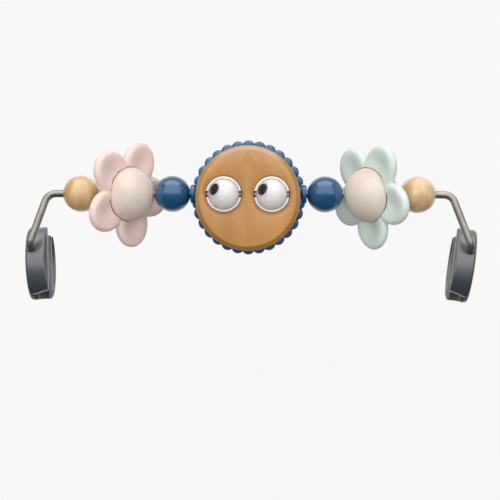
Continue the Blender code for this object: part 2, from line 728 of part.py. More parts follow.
def rim_scoop_outline(inward):
    """What is scooped out of the front rim, seen along the clip's depth: a shallow arc closed by its chord."""
    radius = (RIM_SCOOP_LENGTH ** 2 / 4 + RIM_SCOOP_DEPTH ** 2) / (2 * RIM_SCOOP_DEPTH)
    reach = math.acos(1 - (RIM_SCOOP_DEPTH + OVERRUN) / radius)
    middle = CLIP_WIDTH / 2 - RIM_SCOOP_DEPTH + radius
    return [(inward * x, y) for x, y in arc((middle, 0), radius, math.pi - reach, math.pi + reach, 12)]


def rail_clip(side, sign):
    """A moulded clip: an oval pot with crescent pockets, a channel for the rail, and a boss for the wire's end.

    The channel's jaws are cut back at opposite ends, so that the clip can be twisted onto the rail.
    """
    inward = -sign
    stub_place = Vector((sign * STUB_OFFSET, 0, STUB_RISE))
    lean = Matrix.Rotation(sign * CLIP_LEAN[side], 3, "Y")
    centre = Vector((sign * LEG_REACH[side], 0, 0)) + CLIP_TURN @ (Vector((0, 0, STUB_RISE)) - lean @ stub_place)
    seat = add_empty(f"{side}_clip_seat", centre, (CLIP_TURN @ lean).to_euler())
    upper, lower = (CLIP_INNER_EDGE_SHARE, 1.0) if inward > 0 else (1.0, CLIP_INNER_EDGE_SHARE)
    mesh = plate_mesh(f"{side}_rail_clip", oval(CLIP_DEPTH, CLIP_HEIGHT)[:-1], CLIP_WIDTH, upper, lower)
    clip = add_object(f"{side}_rail_clip", mesh, material=GREY, parent=seat, rotation=OUTLINE_ACROSS_BAR)
    round_rims(clip, CLIP_EDGE_RADIUS, 2)

    hole_radius = WIRE_RADIUS + CLEARANCE
    jaw_face = CHANNEL_WIDTH / 2 + JAW_THICKNESS
    boss_length = CLIP_DEPTH / 2 + OVERRUN - jaw_face + JAW_THICKNESS / 2
    boss = cylinder(
        f"{side}_boss_guard", hole_radius + STUB_BOSS_WALL, boss_length, BORE_STEPS, parent=seat,
        location=stub_place - Vector((0, jaw_face - JAW_THICKNESS / 2 + boss_length / 2, 0)), rotation=TO_FRONT,
    )
    pocket_depth = CLIP_WIDTH - CLIP_BACK_WALL + OVERRUN
    pocket_middle = inward * (CLIP_WIDTH / 2 + OVERRUN - pocket_depth / 2)
    for name, facing in (("front", -1), ("back", 1)):
        pocket_mesh = plate_mesh(f"{side}_{name}_pocket", crescent(facing), pocket_depth)
        pocket = add_object(
            f"{side}_{name}_pocket", pocket_mesh,
            parent=seat, location=(pocket_middle, 0, 0), rotation=OUTLINE_ACROSS_BAR,
        )
        if facing < 0:
            cut(pocket, boss)
        cut(clip, pocket)

    channel_mesh = plate_mesh(f"{side}_channel", channel_outline(inward), CLIP_HEIGHT + 2 * OVERRUN)
    cut(clip, add_object(f"{side}_channel", channel_mesh, parent=seat))

    scoop_length = CLIP_DEPTH / 2 - jaw_face
    scoop_mesh = plate_mesh(f"{side}_rim_scoop", rim_scoop_outline(inward), scoop_length)
    scoop_place = (0, -jaw_face - CLEARANCE - scoop_length / 2, 0)
    cut(clip, add_object(f"{side}_rim_scoop", scoop_mesh, parent=seat, location=scoop_place, rotation=TO_FRONT))

    low, high, end = CLIP_WIDTH / 2 - JAW_RECESS, CLIP_WIDTH / 2 + OVERRUN, CLIP_HEIGHT / 2 + OVERRUN
    recess_outline = [(inward * x, y) for x, y in ((low, -end), (high, -end), (high, end), (low, end))]
    recess_mesh = plate_mesh(f"{side}_jaw_recess", recess_outline, 2 * (jaw_face + CLEARANCE))
    cut(clip, add_object(f"{side}_jaw_recess", recess_mesh, parent=seat, rotation=TO_FRONT))

    end_length = CLIP_DEPTH / 2 + OVERRUN - CHANNEL_WIDTH / 2 + LIP_REACH + OVERRUN
    end_middle = CLIP_DEPTH / 2 + OVERRUN - end_length / 2
    for name, turn in (("back", 0), ("front", math.pi)):
        end_mesh = plate_mesh(f"{side}_{name}_jaw_end", jaw_end_outline(inward), end_length)
        place = Matrix.Rotation(turn, 4, "X") @ Vector((0, end_middle, 0))
        rotation = (Matrix.Rotation(turn, 4, "X") @ Matrix.Rotation(math.pi / 2, 4, "X")).to_euler()
        cut(clip, add_object(f"{side}_{name}_jaw_end", end_mesh, parent=seat, location=place, rotation=rotation))

    hole_length = CLIP_DEPTH / 2 + OVERRUN - jaw_face
    cut(clip, cylinder(
        f"{side}_stub_hole", hole_radius, hole_length, BORE_STEPS, parent=seat,
        location=stub_place - Vector((0, jaw_face + hole_length / 2, 0)), rotation=TO_FRONT,
    ))


bar_wire()
face()
for side_name, side_sign in SIDES:
    beads(side_name, side_sign)
    flower(side_name, side_sign, PINK if side_sign < 0 else MINT)
    rail_clip(side_name, side_sign)
bpy.context.view_layer.update()
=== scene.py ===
"""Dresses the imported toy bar: smooth turned beads, moulded petals and clips, wood, lacquer and a pale studio."""

import json
import math

import bmesh
import bpy
import numpy as np
from mathutils import Matrix, Vector


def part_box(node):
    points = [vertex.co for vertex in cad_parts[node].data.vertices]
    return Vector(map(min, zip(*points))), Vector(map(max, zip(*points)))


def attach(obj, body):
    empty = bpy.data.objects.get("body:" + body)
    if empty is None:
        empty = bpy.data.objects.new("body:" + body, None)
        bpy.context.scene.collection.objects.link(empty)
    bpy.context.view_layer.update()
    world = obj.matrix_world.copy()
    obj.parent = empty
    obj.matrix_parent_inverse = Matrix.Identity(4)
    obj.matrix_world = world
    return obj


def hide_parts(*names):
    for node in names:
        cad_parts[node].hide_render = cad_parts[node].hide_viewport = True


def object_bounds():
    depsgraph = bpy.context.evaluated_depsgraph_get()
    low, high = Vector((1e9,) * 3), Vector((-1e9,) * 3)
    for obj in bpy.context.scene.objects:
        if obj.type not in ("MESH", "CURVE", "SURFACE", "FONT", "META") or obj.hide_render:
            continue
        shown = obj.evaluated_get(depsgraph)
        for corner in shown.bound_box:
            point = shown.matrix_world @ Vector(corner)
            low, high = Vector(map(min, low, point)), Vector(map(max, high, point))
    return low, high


bl_info = {
    "name": "Bouncer Toy Bar",
    "version": (1, 0, 0),
    "blender": (4, 5, 0),
    "location": "View3D > Sidebar > Toy Bar",
    "description": "Builds the wire, beads, flowers, face and seat clips of a bouncer toy bar",
    "category": "Object",
}

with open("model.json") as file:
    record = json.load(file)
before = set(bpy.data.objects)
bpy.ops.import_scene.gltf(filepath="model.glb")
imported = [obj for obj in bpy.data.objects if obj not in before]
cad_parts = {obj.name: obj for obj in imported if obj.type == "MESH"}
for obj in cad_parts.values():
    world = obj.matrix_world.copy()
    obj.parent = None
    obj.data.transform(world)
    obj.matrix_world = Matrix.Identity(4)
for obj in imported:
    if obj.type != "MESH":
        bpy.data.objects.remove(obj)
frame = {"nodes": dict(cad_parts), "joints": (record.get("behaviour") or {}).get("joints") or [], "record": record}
CAD_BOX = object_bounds()
# Where each turning body turns, and where the part is held
CENTRES = {joint["child"]: np.array(joint["pos_m"]) for joint in frame["joints"]}
MOUNTS = {mount["name"]: mount for mount in frame["record"]["mounts"]}
WIRE_AT = CENTRES["face"]
SIDES = (("left", -1), ("right", 1))

X, Y, Z = np.eye(3)
QUARTER, FULL = math.pi / 2, 2 * math.pi
OVERRUN = 0.002  # how far a cutting body stands out of what it cuts
# An eased corner where a flat meets a slant of 45 degrees, in shares of its ease and seen from the corner
EASED = np.array([(-1, 0), (-0.3, -0.15), (0.5, -0.75)])


def node_size(node, axis):
    """A CAD node's size along one axis of the frame, in metres."""
    low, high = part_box(node)
    return (high - low)[axis]


# ---------------------------------------------------------------- sizes and colours


def length(name, default, description):
    return bpy.props.FloatProperty(
        name=name, default=default, description=description, unit="LENGTH", subtype="DISTANCE", min=0, precision=5
    )


def angle(name, default, description):
    default = math.radians(default)
    return bpy.props.FloatProperty(name=name, default=default, description=description, subtype="ANGLE")


def count(name, default, description):
    return bpy.props.IntProperty(name=name, default=default, description=description, min=3)


def colour(name, default, description):
    return bpy.props.FloatVectorProperty(
        name=name, default=default, description=description, subtype="COLOR", size=3, min=0, max=1
    )


class ToyBarWireSizes(bpy.types.PropertyGroup):
    """Sizes of the bent wire."""

    diameter: length("Wire diameter", 0.0066, "Thickness of the steel wire")
    elbow_half_span: length("Elbow half span", 0.1773, "From the middle to the corner of each elbow")
    elbow_radius: length("Elbow radius", 0.0100, "Bend radius of the elbows, on the wire's middle line")
    foot_radius: length("Foot radius", 0.0066, "Bend radius where the legs turn into the clips")
    leg_fall: length("Leg fall", 0.0473, "How far the legs go down, along their slanting plane")
    left_splay: angle("Left splay", 17.3, "How far the left leg spreads outwards")
    right_splay: angle("Right splay", 19.4, "How far the right leg spreads outwards")
    stub_length: length("Stub length", 0.0189, "Straight end that sits in the clip, from the corner")


class ToyBarBeadSizes(bpy.types.PropertyGroup):
    """Sizes of the turned beads."""

    ball: length("Small ball", 0.0318, "Diameter of the small balls")
    bore: length("Bore", 0.0074, "Diameter of the bores")
    mouth: length("Bore edge", 0.0006, "Rounding of the bore's edge")
    washer: length("Washer", node_size("left_washer", 2), "Diameter of the washers")
    washer_thickness: length("Washer thickness", node_size("left_washer", 0) + 0.0004, "Thickness of the washers")
    washer_edge: length("Washer edge", 0.0014, "Rounding of the washer's rim")


class ToyBarFlowerSizes(bpy.types.PropertyGroup):
    """Sizes of the flowers."""

    ball: length("Flower ball", 0.0483, "Diameter of the ball that the two halves make")
    front_start: length("Front half", 0.0033, "From the wire to the flat side of the front half")
    back_start: length("Back half", 0.0007, "From the wire to the flat side of the back half")
    half_edge: length("Half edge", 0.0005, "Rounding of the half balls' rim")
    petals: count("Petals", 5, "Petals of a flower")
    petal_length: length("Petal length", 0.0400, "Length of a petal's oval, away from the hub")
    petal_breadth: length("Petal breadth", 0.0364, "Breadth of a petal's oval")
    petal_thickness: length("Petal thickness", 0.0080, "Thickness of a petal's round rim")
    petal_reach: length("Petal reach", 0.0282, "From the hub to a petal's middle")
    front_dish: length("Front dish", 0.0032, "Depth of the hollow in a petal's front")
    back_dish: length("Back dish", 0.0012, "Depth of the hollow in a petal's back")
    plate_offset: length("Plate offset", 0.0013, "How far the petals' middle plane lies in front of the wire")
    web: length("Web", 0.0034, "Thickness of the plate between the two half balls")
    seat_gap: length("Seat gap", 0.0003, "From the half balls' rim to where the petals start")
    turn: angle("Turn", 52.2, "How far the flowers turn away from the face's direction")
    left_phase: angle("Left phase", -9.9, "Where the left flower's first petal points")
    right_phase: angle("Right phase", -9.2, "Where the right flower's first petal points")
    left_tilt: angle("Left tilt", 5.0, "How far the left flower has turned on the wire")
    right_tilt: angle("Right tilt", 7.4, "How far the right flower has turned on the wire")


class ToyBarFaceSizes(bpy.types.PropertyGroup):
    """Sizes of the face, its lobed ring and the eyes."""

    disc: length("Disc", 0.0904, "Diameter of the wooden discs")
    front_depth: length("Front disc", 0.0200, "Thickness of the front disc")
    back_depth: length("Back disc", 0.0160, "Thickness of the back disc")
    start: length("Disc start", 0.0059, "From the wire to the inner face of either disc")
    chamfer: length("Chamfer", 0.0036, "Slant round a disc's outer face")
    ease: length("Eased edge", 0.0004, "Softening of the sawn edges")
    drop: length("Drop", 0.0030, "How far the face's middle hangs below the wire")
    ring_thickness: length("Ring thickness", 0.0112, "Thickness of the lobed ring")
    spot_face: length("Washer seat", 0.0186, "Diameter of the washers' flat seats on the ring")
    lobes: count("Lobes", 30, "Lobes round the ring")
    lobe_circle: length("Lobe circle", 0.0441, "Radius of the circle on which the lobes' middles lie")
    lobe: length("Lobe", 0.00595, "Radius of the lobes")
    lobe_rounding: length("Lobe rounding", 0.0036, "Rounding of the lobes towards the discs")
    eye_spacing: length("Eye spacing", 0.0412, "Between the two eyes' middles")
    eye_rise: length("Eye rise", 0.00345, "How far the eyes sit above the disc's middle")
    eyeball: length("Eyeball", 0.0264, "Diameter of the eyeballs")
    eyeball_setback: length("Eyeball setback", 0.0020, "From the pot's face back to the eyeball's middle")
    pot_inside: length("Pot inside", 0.0266, "Inner diameter of the pots")
    pot_outside: length("Pot outside", 0.0306, "Outer diameter of the pots")
    pot_recess: length("Pot recess", 0.0012, "How far the pots sit back from the disc's face")
    pot_floor: length("Pot floor", 0.0010, "Thickness of the pots' floor")
    pot_edge: length("Pot edge", 0.0006, "Rounding of the pots' rim")
    pot_heel: angle("Pot heel", 35, "How far below its middle a pot's side turns in")
    bevel: length("Hole bevel", 0.0026, "Slant round the eye holes")
    gap: length("Gap", 0.0003, "Clearance between glued pieces")
    axle: length("Axle", 0.0022, "Diameter of the eyeballs' axle stubs")
    axle_reach: length("Axle reach", 0.0015, "How far an axle stub stands out of the eyeball")
    slot: length("Slot", 0.0056, "Width of the slots that hold the axle stubs")
    slot_depth: length("Slot depth", 0.0050, "How far the slots reach below the axle stubs")
    pupil: length("Pupil", 0.0104, "Diameter of the pupils")
    gaze_left: angle("Gaze left", 40.95, "How far the pupils look to the left")
    gaze_up: angle("Gaze up", 20.86, "How far the pupils look up")


class ToyBarClipSizes(bpy.types.PropertyGroup):
    """Sizes of the seat clips."""

    height: length("Height", 0.0660, "Height of the oval")
    depth: length("Depth", 0.0480, "Depth of the oval, front to back")
    width: length("Width", 0.0184, "Width across the clip")
    edge: length("Outer edge", 0.0030, "Rounding of the outer rim")
    inner_edge: length("Inner edge", 0.0024, "Rounding of the rim towards the seat")
    soft_edge: length("Soft edge", 0.0004, "Rounding of the pockets' and the channel's edges")
    wall: length("Wall", 0.0020, "Wall round the pockets")
    back_wall: length("Back wall", 0.0035, "Wall behind the pockets and the channel")
    jaw: length("Jaw", 0.0034, "Thickness of the two jaws")
    jaw_recess: length("Jaw recess", 0.0008, "How far the jaws stand back from the rim")
    jaw_end: length("Jaw end", 0.0262, "From the clip's middle to the cut-back jaw ends, at the mouth")
    jaw_slope: angle("Jaw slope", 13, "Slope of the cut-back jaw ends")
    scoop_length: length("Scoop length", 0.0540, "Height of the scoop in the front rim")
    scoop_depth: length("Scoop depth", 0.0014, "Depth of the scoop in the front rim")
    channel: length("Channel", 0.0135, "Width of the rail's channel")
    channel_corner: length("Channel corner", 0.0035, "Round corner at the channel's floor")
    lip: length("Lip", 0.0010, "How far the lips narrow the channel's mouth")
    lip_length: length("Lip length", 0.0026, "Length of each slope of a lip")
    stub_rise: length("Stub rise", 0.0100, "Where the wire enters, above the clip's middle")
    stub_offset: length("Stub offset", 0.0037, "Where the wire enters, outwards from the clip's middle")
    stub_hole: length("Stub hole", 0.0072, "Diameter of the wire's hole")
    boss_wall: length("Boss wall", 0.0024, "Wall of the boss round the wire")
    pitch: angle("Pitch", 15, "How far both clips lean back")
    overlap: length("Overlap", 0.0003, "How far the cuts beside the jaws reach past them")
    trim: length("Trim", 0.00006, "How much smaller the smooth oval is than the faceted one")
    left_lean: angle("Left lean", 4.0, "How far the left clip leans inwards")
    right_lean: angle("Right lean", 8.7, "How far the right clip leans inwards")


class ToyBarColours(bpy.types.PropertyGroup):
    """Colours of the finishes."""

    steel: colour("Steel", (0.44, 0.415, 0.37), "Satin steel of the wire")
    beech: colour("Beech", (0.88, 0.69, 0.43), "Oiled beech of the end balls")
    beech_dark: colour("Beech, late wood", (0.60, 0.32, 0.09), "Darker streaks of the oiled beech")
    washed: colour("Washed beech", (0.82, 0.73, 0.645), "Whitened beech of the flower balls")
    washed_dark: colour("Washed beech, late wood", (0.75, 0.62, 0.52), "Darker flecks of the whitened beech")
    face: colour("Face wood", (0.62, 0.310, 0.072), "Stained wood of the discs")
    face_dark: colour("Face wood, late wood", (0.47, 0.195, 0.036), "Darker streaks of the discs")
    blue: colour("Blue", (0.009, 0.080, 0.200), "Blue lacquer")
    pink: colour("Pink", (0.90, 0.69, 0.62), "Pink petals")
    mint: colour("Mint", (0.71, 0.82, 0.755), "Mint petals")
    white: colour("White", (0.81, 0.805, 0.79), "Eyes")
    black: colour("Black", (0.012, 0.011, 0.010), "Pupils")
    grey: colour("Grey", (0.026, 0.034, 0.044), "Moulded clips")
    backdrop: colour("Backdrop", (0.94, 0.94, 0.935), "Floor and backdrop")


SIZE_GROUPS = {
    "toybar_wire": ToyBarWireSizes,
    "toybar_beads": ToyBarBeadSizes,
    "toybar_flower": ToyBarFlowerSizes,
    "toybar_face": ToyBarFaceSizes,
    "toybar_clip": ToyBarClipSizes,
    "toybar_colours": ToyBarColours,
}


# ---------------------------------------------------------------- shapes on grids


def mesh_from_grids(name, grids, sharp=30):
    """One mesh of several grids of points, each of shape (rows, columns, 3).

    Every cell of a grid becomes one face. Seams and poles are closed by merging the points that coincide,
    and the faces of each closed shell are turned outwards.
    """
    points, faces, start = [], [], 0
    for grid in grids:
        rows, columns = grid.shape[:2]
        index = start + np.arange(rows * columns).reshape(rows, columns)
        cells = np.stack([index[:-1, :-1], index[:-1, 1:], index[1:, 1:], index[1:, :-1]], axis=-1)
        points.append(grid.reshape(-1, 3))
        faces.append(cells.reshape(-1, 4))
        start += rows * columns
    mesh = bpy.data.meshes.new(name)
    mesh.from_pydata(np.concatenate(points).tolist(), [], np.concatenate(faces).tolist())
    return welded(mesh, sharp)


def welded(mesh, sharp, distance=1e-6):
    """Merges coinciding points, turns the faces outwards and smooths all but the edges sharper than an angle."""
    shape = bmesh.new()
    shape.from_mesh(mesh)
    bmesh.ops.remove_doubles(shape, verts=shape.verts, dist=distance)
    bmesh.ops.dissolve_degenerate(shape, edges=shape.edges, dist=distance)
    bmesh.ops.recalc_face_normals(shape, faces=shape.faces)
    shape.to_mesh(mesh)
    shape.free()
    mesh.shade_smooth()
    mesh.set_sharp_from_angle(angle=math.radians(sharp))
    return mesh


def points_of(mesh, centre):
    """The mesh's points as an array, seen from a centre."""
    points = np.empty(len(mesh.vertices) * 3, np.float32)
    mesh.vertices.foreach_get("co", points)
    return points.reshape(-1, 3) - np.asarray(centre)


def set_value(mesh, name, values):
    """Keeps one number for each point of a mesh, for its finish to read."""
    mesh.attributes.new(name, "FLOAT", "POINT").data.foreach_set("value", values.astype(np.float32))


def arc(centre, radius, start, end, steps):
    """Points centre + radius * (cos a, sin a) for evenly spaced angles a; two radii make an oval."""
    a = np.linspace(start, end, steps + 1)
    return np.asarray(centre) + np.stack([np.cos(a), np.sin(a)], axis=-1) * radius


def line(start, end, steps):
    """Evenly spaced points between two points, both ends included."""
    t = np.linspace(0, 1, steps + 1)[:, None]
    return np.asarray(start) * (1 - t) + np.asarray(end) * t


def joined(*pieces):
    """Profile points one after the other, as an array of (radius, height) rows."""
    return np.concatenate([np.atleast_2d(piece) for piece in pieces])


def around(radius, a, height):
    """Points (radius cos a, radius sin a, height), with one row for each radius or height."""
    return np.stack(np.broadcast_arrays(radius * np.cos(a), radius * np.sin(a), height), axis=-1)


def turned(profile, columns=96):
    """A profile of (radius, height) rows carried once round the Z axis."""
    return around(profile[:, :1], np.linspace(0, FULL, columns + 1), profile[:, 1:])


def placed(grid, centre=(0, 0, 0), across=X, up=Y, along=Z):
    """Moves points from a piece's own axes to the frame: centre + x across + y up + z along."""
    return np.asarray(centre) + grid @ np.stack([across, up, along])


def along_bar(grid, centre=(0, 0, 0)):
    """Lays a piece's own Z axis along the bar."""
    return placed(grid, centre, Y, Z, X)


def to_front(grid, centre):
    """Turns a piece's own Z axis towards the front, so that its X runs along the bar and its Y goes up."""
    return placed(grid, centre, X, Z, -Y)


def to_back(grid, centre):
    """Turns a piece's own Z axis towards the back."""
    return placed(grid, centre, -X, Z, Y)


def nearest(a, sector):
    """Angles measured from the nearest of evenly spaced directions, two sectors apart."""
    return (a + sector) % (2 * sector) - sector


def rotation(turn, axis):
    """A turning matrix as an array, by an angle about X, Y or Z."""
    return np.array(Matrix.Rotation(turn, 3, axis))


def add_object(name, data):
    """A new object in the scene."""
    item = bpy.data.objects.new(name, data)
    bpy.context.scene.collection.objects.link(item)
    return item


def add_piece(mesh, body, finish, node):
    """Adds a finished mesh under its own name: it rides on a body and stands for a CAD node."""
    piece = add_object(mesh.name, mesh)
    mesh.materials.clear()
    mesh.materials.append(finish)
    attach(piece, body)
    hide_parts(node)


# ---------------------------------------------------------------- finishes


class Tone:
    """A value inside a node tree. Each operator adds the Math node that works it out."""

    def __init__(self, nodes, socket):
        self.nodes = nodes
        self.socket = socket

    def maths(self, operation, *values):
        return self.nodes.add("ShaderNodeMath", {"operation": operation}, dict(enumerate(values)))

    def __add__(self, other):
        return self.maths("ADD", self, other)

    def __sub__(self, other):
        return self.maths("SUBTRACT", self, other)

    def __rsub__(self, other):
        return self.maths("SUBTRACT", other, self)

    def __mul__(self, other):
        return self.maths("MULTIPLY", self, other)

    __radd__ = __add__
    __rmul__ = __mul__

    def larger(self, other):
        return self.maths("MAXIMUM", self, other)

    def ramp(self, low, high, start=0.0, end=1.0):
        """A smooth step from start, where the value is low or less, to end, where it is high or more."""
        inputs = {0: self, 1: low, 2: high, 3: start, 4: end}
        return self.nodes.add("ShaderNodeMapRange", {"interpolation_type": "SMOOTHSTEP"}, inputs)


class Nodes:
    """Adds the nodes of one tree."""

    def __init__(self, tree):
        self.tree = tree

    def add(self, kind, settings, inputs, output=0):
        """Adds one node, sets what it is, then its sockets, and gives the named or numbered output."""
        node = self.tree.nodes.new(kind)
        for key, value in settings.items():
            setattr(node, key, value)
        for key, value in inputs.items():
            if isinstance(value, Tone):
                self.tree.links.new(value.socket, node.inputs[key])
            else:
                node.inputs[key].default_value = value
        return Tone(self, node.outputs[output])

    def place(self, kind="Object"):
        return self.add("ShaderNodeTexCoord", {}, {}, kind)


class Finish(Nodes):
    """The nodes of one finish, around a Principled shader."""

    def __init__(self, name, **constants):
        self.material = bpy.data.materials.new(name)
        self.material.use_nodes = True
        super().__init__(self.material.node_tree)
        self.shader = self.tree.nodes["Principled BSDF"]
        for socket, value in constants.items():
            self.shader.inputs[socket.replace("_", " ")].default_value = value

    def mapped(self, centre=(0, 0, 0), turn=(0, 0, 0), scale=(1, 1, 1)):
        """Object coordinates seen from a centre, turned and then stretched."""
        inputs = {0: self.place(), 1: tuple(float(v) for v in centre)}
        moved = self.add("ShaderNodeVectorMath", {"operation": "SUBTRACT"}, inputs)
        return self.add("ShaderNodeMapping", {}, {"Vector": moved, "Rotation": turn, "Scale": scale})

    def noise(self, scale, detail, roughness, where=None, distortion=0.0):
        inputs = {"Vector": where or self.place(), "Scale": scale, "Detail": detail, "Roughness": roughness}
        return self.add("ShaderNodeTexNoise", {}, {**inputs, "Distortion": distortion})

    def kept_value(self, name):
        """The number that set_value kept on the mesh, or 0 where there is none."""
        return self.add("ShaderNodeAttribute", {"attribute_name": name}, {}, "Fac")

    def layered(self, tone, *layers):
        """A colour with others laid over it, each by its own factor."""
        for factor, over in layers:
            first, second = (value if isinstance(value, Tone) else (*value, 1.0) for value in (tone, over))
            tone = self.add("ShaderNodeMix", {"data_type": "RGBA"}, {0: factor, 6: first, 7: second}, 2)
        return tone

    def shades(self, body, amount, *layers):
        """A colour made darker or lighter by an amount, with others of its shades laid over it."""
        return self.layered(shaded_by(body, amount), *((factor, shaded_by(body, over)) for factor, over in layers))

    def shade(self, tone, roughness, height, distance, strength):
        """Feeds the shader its colour and roughness, and a fine relief of the given height."""
        bump = self.add("ShaderNodeBump", {}, {"Height": height, "Distance": distance, "Strength": strength})
        for socket, value in (("Base Color", tone), ("Roughness", roughness), ("Normal", bump)):
            self.tree.links.new(value.socket, self.shader.inputs[socket])
        return self.material


def shaded_by(colour_value, amount):
    """A colour made darker or lighter by a share."""
    return tuple(channel * amount for channel in colour_value)


def wood(name, light, dark, centre, turn, figure, speckle, roughness, coat=0.0):
    """Turned or sawn wood: a slow figure, long fine fibres, short ray flecks and a fine speckle.

    All are noise, and all but the speckle are stretched along the grain, which is the pattern's own Z axis.
    Where the mesh has a "rim" value, a dark colour is laid over the wood: painted shadow of the narrow gap
    along a turned half's cut edge, and, more faintly, round the face's slant: partly stain, partly painted shade.
    """
    finish = Finish(name, Coat_Weight=coat, Coat_Roughness=0.30, Coat_IOR=1.8, Specular_IOR_Level=0.4)

    def grain(stretch):
        return finish.mapped(centre, turn, (1, 1, stretch))

    drift = finish.noise(figure, 3.0, 0.5, grain(0.3), 0.8)
    strands = finish.noise(420, 3.0, 0.55, grain(0.045))
    fibres = finish.noise(1900, 3.0, 0.65, grain(0.06))
    dashes = finish.noise(1500, 1.0, 0.4, grain(0.2)).ramp(0.64, 0.74)
    grit = finish.noise(2600, 2.0, 0.7)
    depth = (drift - 0.5) * 2.0 + (strands - 0.5) * 0.3 + (fibres - 0.5) * 0.5 + 0.5
    # the "rim" layer is painted shadow at a half ball's cut edge, and faint painted shade with some stain round the
    # face
    tone = finish.layered(
        light, (depth.ramp(0.0, 1.0), dark), (dashes * 0.35, shaded_by(dark, 0.75)),
        (grit.ramp(0.52, 0.8) * speckle, shaded_by(dark, 0.6)), (finish.kept_value("rim"), (0.11, 0.045, 0.02)),
    )
    relief = fibres * 0.6 + grit * 0.3 - dashes * 0.6
    return finish.shade(tone, fibres * 0.16 + roughness - 0.08, relief, 0.00006, 0.5)


def lacquer(name, body):
    """Blue lacquer on wood: a clear gloss over paint, with a faint orange peel and handling haze."""
    finish = Finish(
        name, Coat_Weight=0.8, Coat_Roughness=0.07, Coat_IOR=1.65, Specular_IOR_Level=0.5,
        Specular_Tint=(0.7, 0.9, 1.0, 1.0),
    )
    broad, fine = finish.noise(60, 3.0, 0.5), finish.noise(900, 3.0, 0.55)
    tone = finish.shades(body, 0.86, (broad.ramp(0.3, 0.75), 1.12), (fine.ramp(0.62, 0.8) * 0.25, 1.7))
    return finish.shade(tone, fine * 0.12 + broad * 0.08 + 0.18, fine, 0.00004, 0.35)


def soft_plastic(name, body):
    """Soft matt petals: an even colour with a slow drift, a fine moulded grain and a faint sheen.

    Where the mesh has a "hollow" value, in the petals' dishes, the colour is a little darker, as painted shade.
    """
    finish = Finish(
        name, Specular_IOR_Level=0.3, Sheen_Weight=0.15, Sheen_Roughness=0.5, Subsurface_Weight=0.12,
        Subsurface_Radius=(1, 1, 1), Subsurface_Scale=0.004,
    )
    broad, grain = finish.noise(35, 2.0, 0.5), finish.noise(1800, 2.0, 0.6)
    # the "hollow" layer darkens the dishes' middles: painted shade
    tone = finish.shades(
        body, 0.97, (broad.ramp(0.3, 0.7), 1.03), (finish.kept_value("hollow") * 0.3, 0.88),
        (grain.ramp(0.55, 0.8) * 0.2, 0.93),
    )
    return finish.shade(tone, grain * 0.12 + broad * 0.1 + 0.42, grain, 0.00003, 0.5)


def satin_steel(name, body):
    """Drawn steel wire: satin metal with fine streaks along it and slow dulling."""
    finish = Finish(name, Metallic=1.0)
    streaks = finish.noise(2600, 3.0, 0.6, finish.mapped(scale=(0.12, 1, 0.35)))
    cloud = finish.noise(70, 3.0, 0.55)
    tone = finish.shades(body, 0.88, (cloud.ramp(0.35, 0.7), 1.1), (streaks.ramp(0.58, 0.8) * 0.3, 1.35))
    return finish.shade(tone, streaks * 0.16 + cloud * 0.12 + 0.34, streaks, 0.00003, 0.4)


def moulded_grey(name, body):
    """Moulded clips: spark-eroded satin grain, a slow drift and rubbed, paler spots."""
    finish = Finish(name, Specular_IOR_Level=1.0, Coat_Weight=1.0, Coat_Roughness=0.38, Coat_IOR=1.95)
    grain, cloud = finish.noise(2400, 2.0, 0.7), finish.noise(55, 3.0, 0.5)
    rubbed = finish.noise(240, 4.0, 0.65).ramp(0.60, 0.78)
    tone = finish.shades(body, 0.92, (cloud.ramp(0.3, 0.75), 1.08), (rubbed * 0.3, 1.5))
    return finish.shade(tone, grain * 0.14 + cloud * 0.1 + 0.34, grain, 0.00004, 0.4)


def glossy(name, body, speck, roughness, coat, depth=0.0):
    """Polished plastic: nearly even, with a faint drift and a few specks; depth lets light under its skin."""
    finish = Finish(
        name, Coat_Weight=coat, Coat_Roughness=0.06, Specular_IOR_Level=0.4, Subsurface_Weight=depth,
        Subsurface_Radius=(1, 1, 1), Subsurface_Scale=0.016,
    )
    cloud = finish.noise(120, 2.0, 0.5)
    dust = finish.noise(1600, 2.0, 0.5).ramp(0.66, 0.74)
    tone = finish.layered(body, (cloud.ramp(0.3, 0.7), shaded_by(body, 0.97)), (dust * 0.5, speck))
    return finish.shade(tone, cloud * 0.08 + dust * 0.1 + roughness, cloud, 0.00002, 0.3)


# ---------------------------------------------------------------- wire


def wire_route(sizes, clip, steps=17):
    """The wire's middle line, its directions and, for each point, a direction square to it.

    It is made of straight runs and arcs. An arc's point is centre + radius * (direction sin a - inwards cos a)
    and its direction is direction cos a + inwards sin a.
    """
    tilt = rotation(-clip.pitch, "X")
    plane_up, backwards = tilt @ Z, tilt @ Y
    halves = []
    for sign, splay in ((-1, sizes.left_splay), (1, sizes.right_splay)):
        outward = sign * X
        down = -plane_up * math.cos(splay) + outward * math.sin(splay)
        elbow = WIRE_AT + outward * sizes.elbow_half_span
        foot = elbow + down * (sizes.leg_fall / math.cos(splay))
        end = foot + backwards * sizes.stub_length
        points, heads, planar = [], [], []
        for corner, before, after, radius in (
            (elbow, outward, down, sizes.elbow_radius), (foot, down, backwards, sizes.foot_radius),
        ):
            bend = math.acos(before @ after)
            inwards = (after - before * math.cos(bend)) / math.sin(bend)
            start = corner - before * radius * math.tan(bend / 2)
            a = np.linspace(0, bend, steps)[:, None]
            points.append(start + radius * inwards + radius * (before * np.sin(a) - inwards * np.cos(a)))
            heads.append(before * np.cos(a) + inwards * np.sin(a))
            planar.append(heads[-1] if corner is elbow else np.broadcast_to(down, (steps, 3)))
        points.append(end[None])
        heads.append(backwards[None])
        planar.append(down[None])
        points, heads, planar = (np.concatenate(part) for part in (points, heads, planar))
        halves.append((points, heads, np.cross(backwards, planar)))
    points, heads, sides = (
        np.concatenate([sign * left[::-1], right]) for sign, left, right in zip((1, -1, -1), *halves)
    )
    return points, heads, sides / np.linalg.norm(sides, axis=1, keepdims=True)


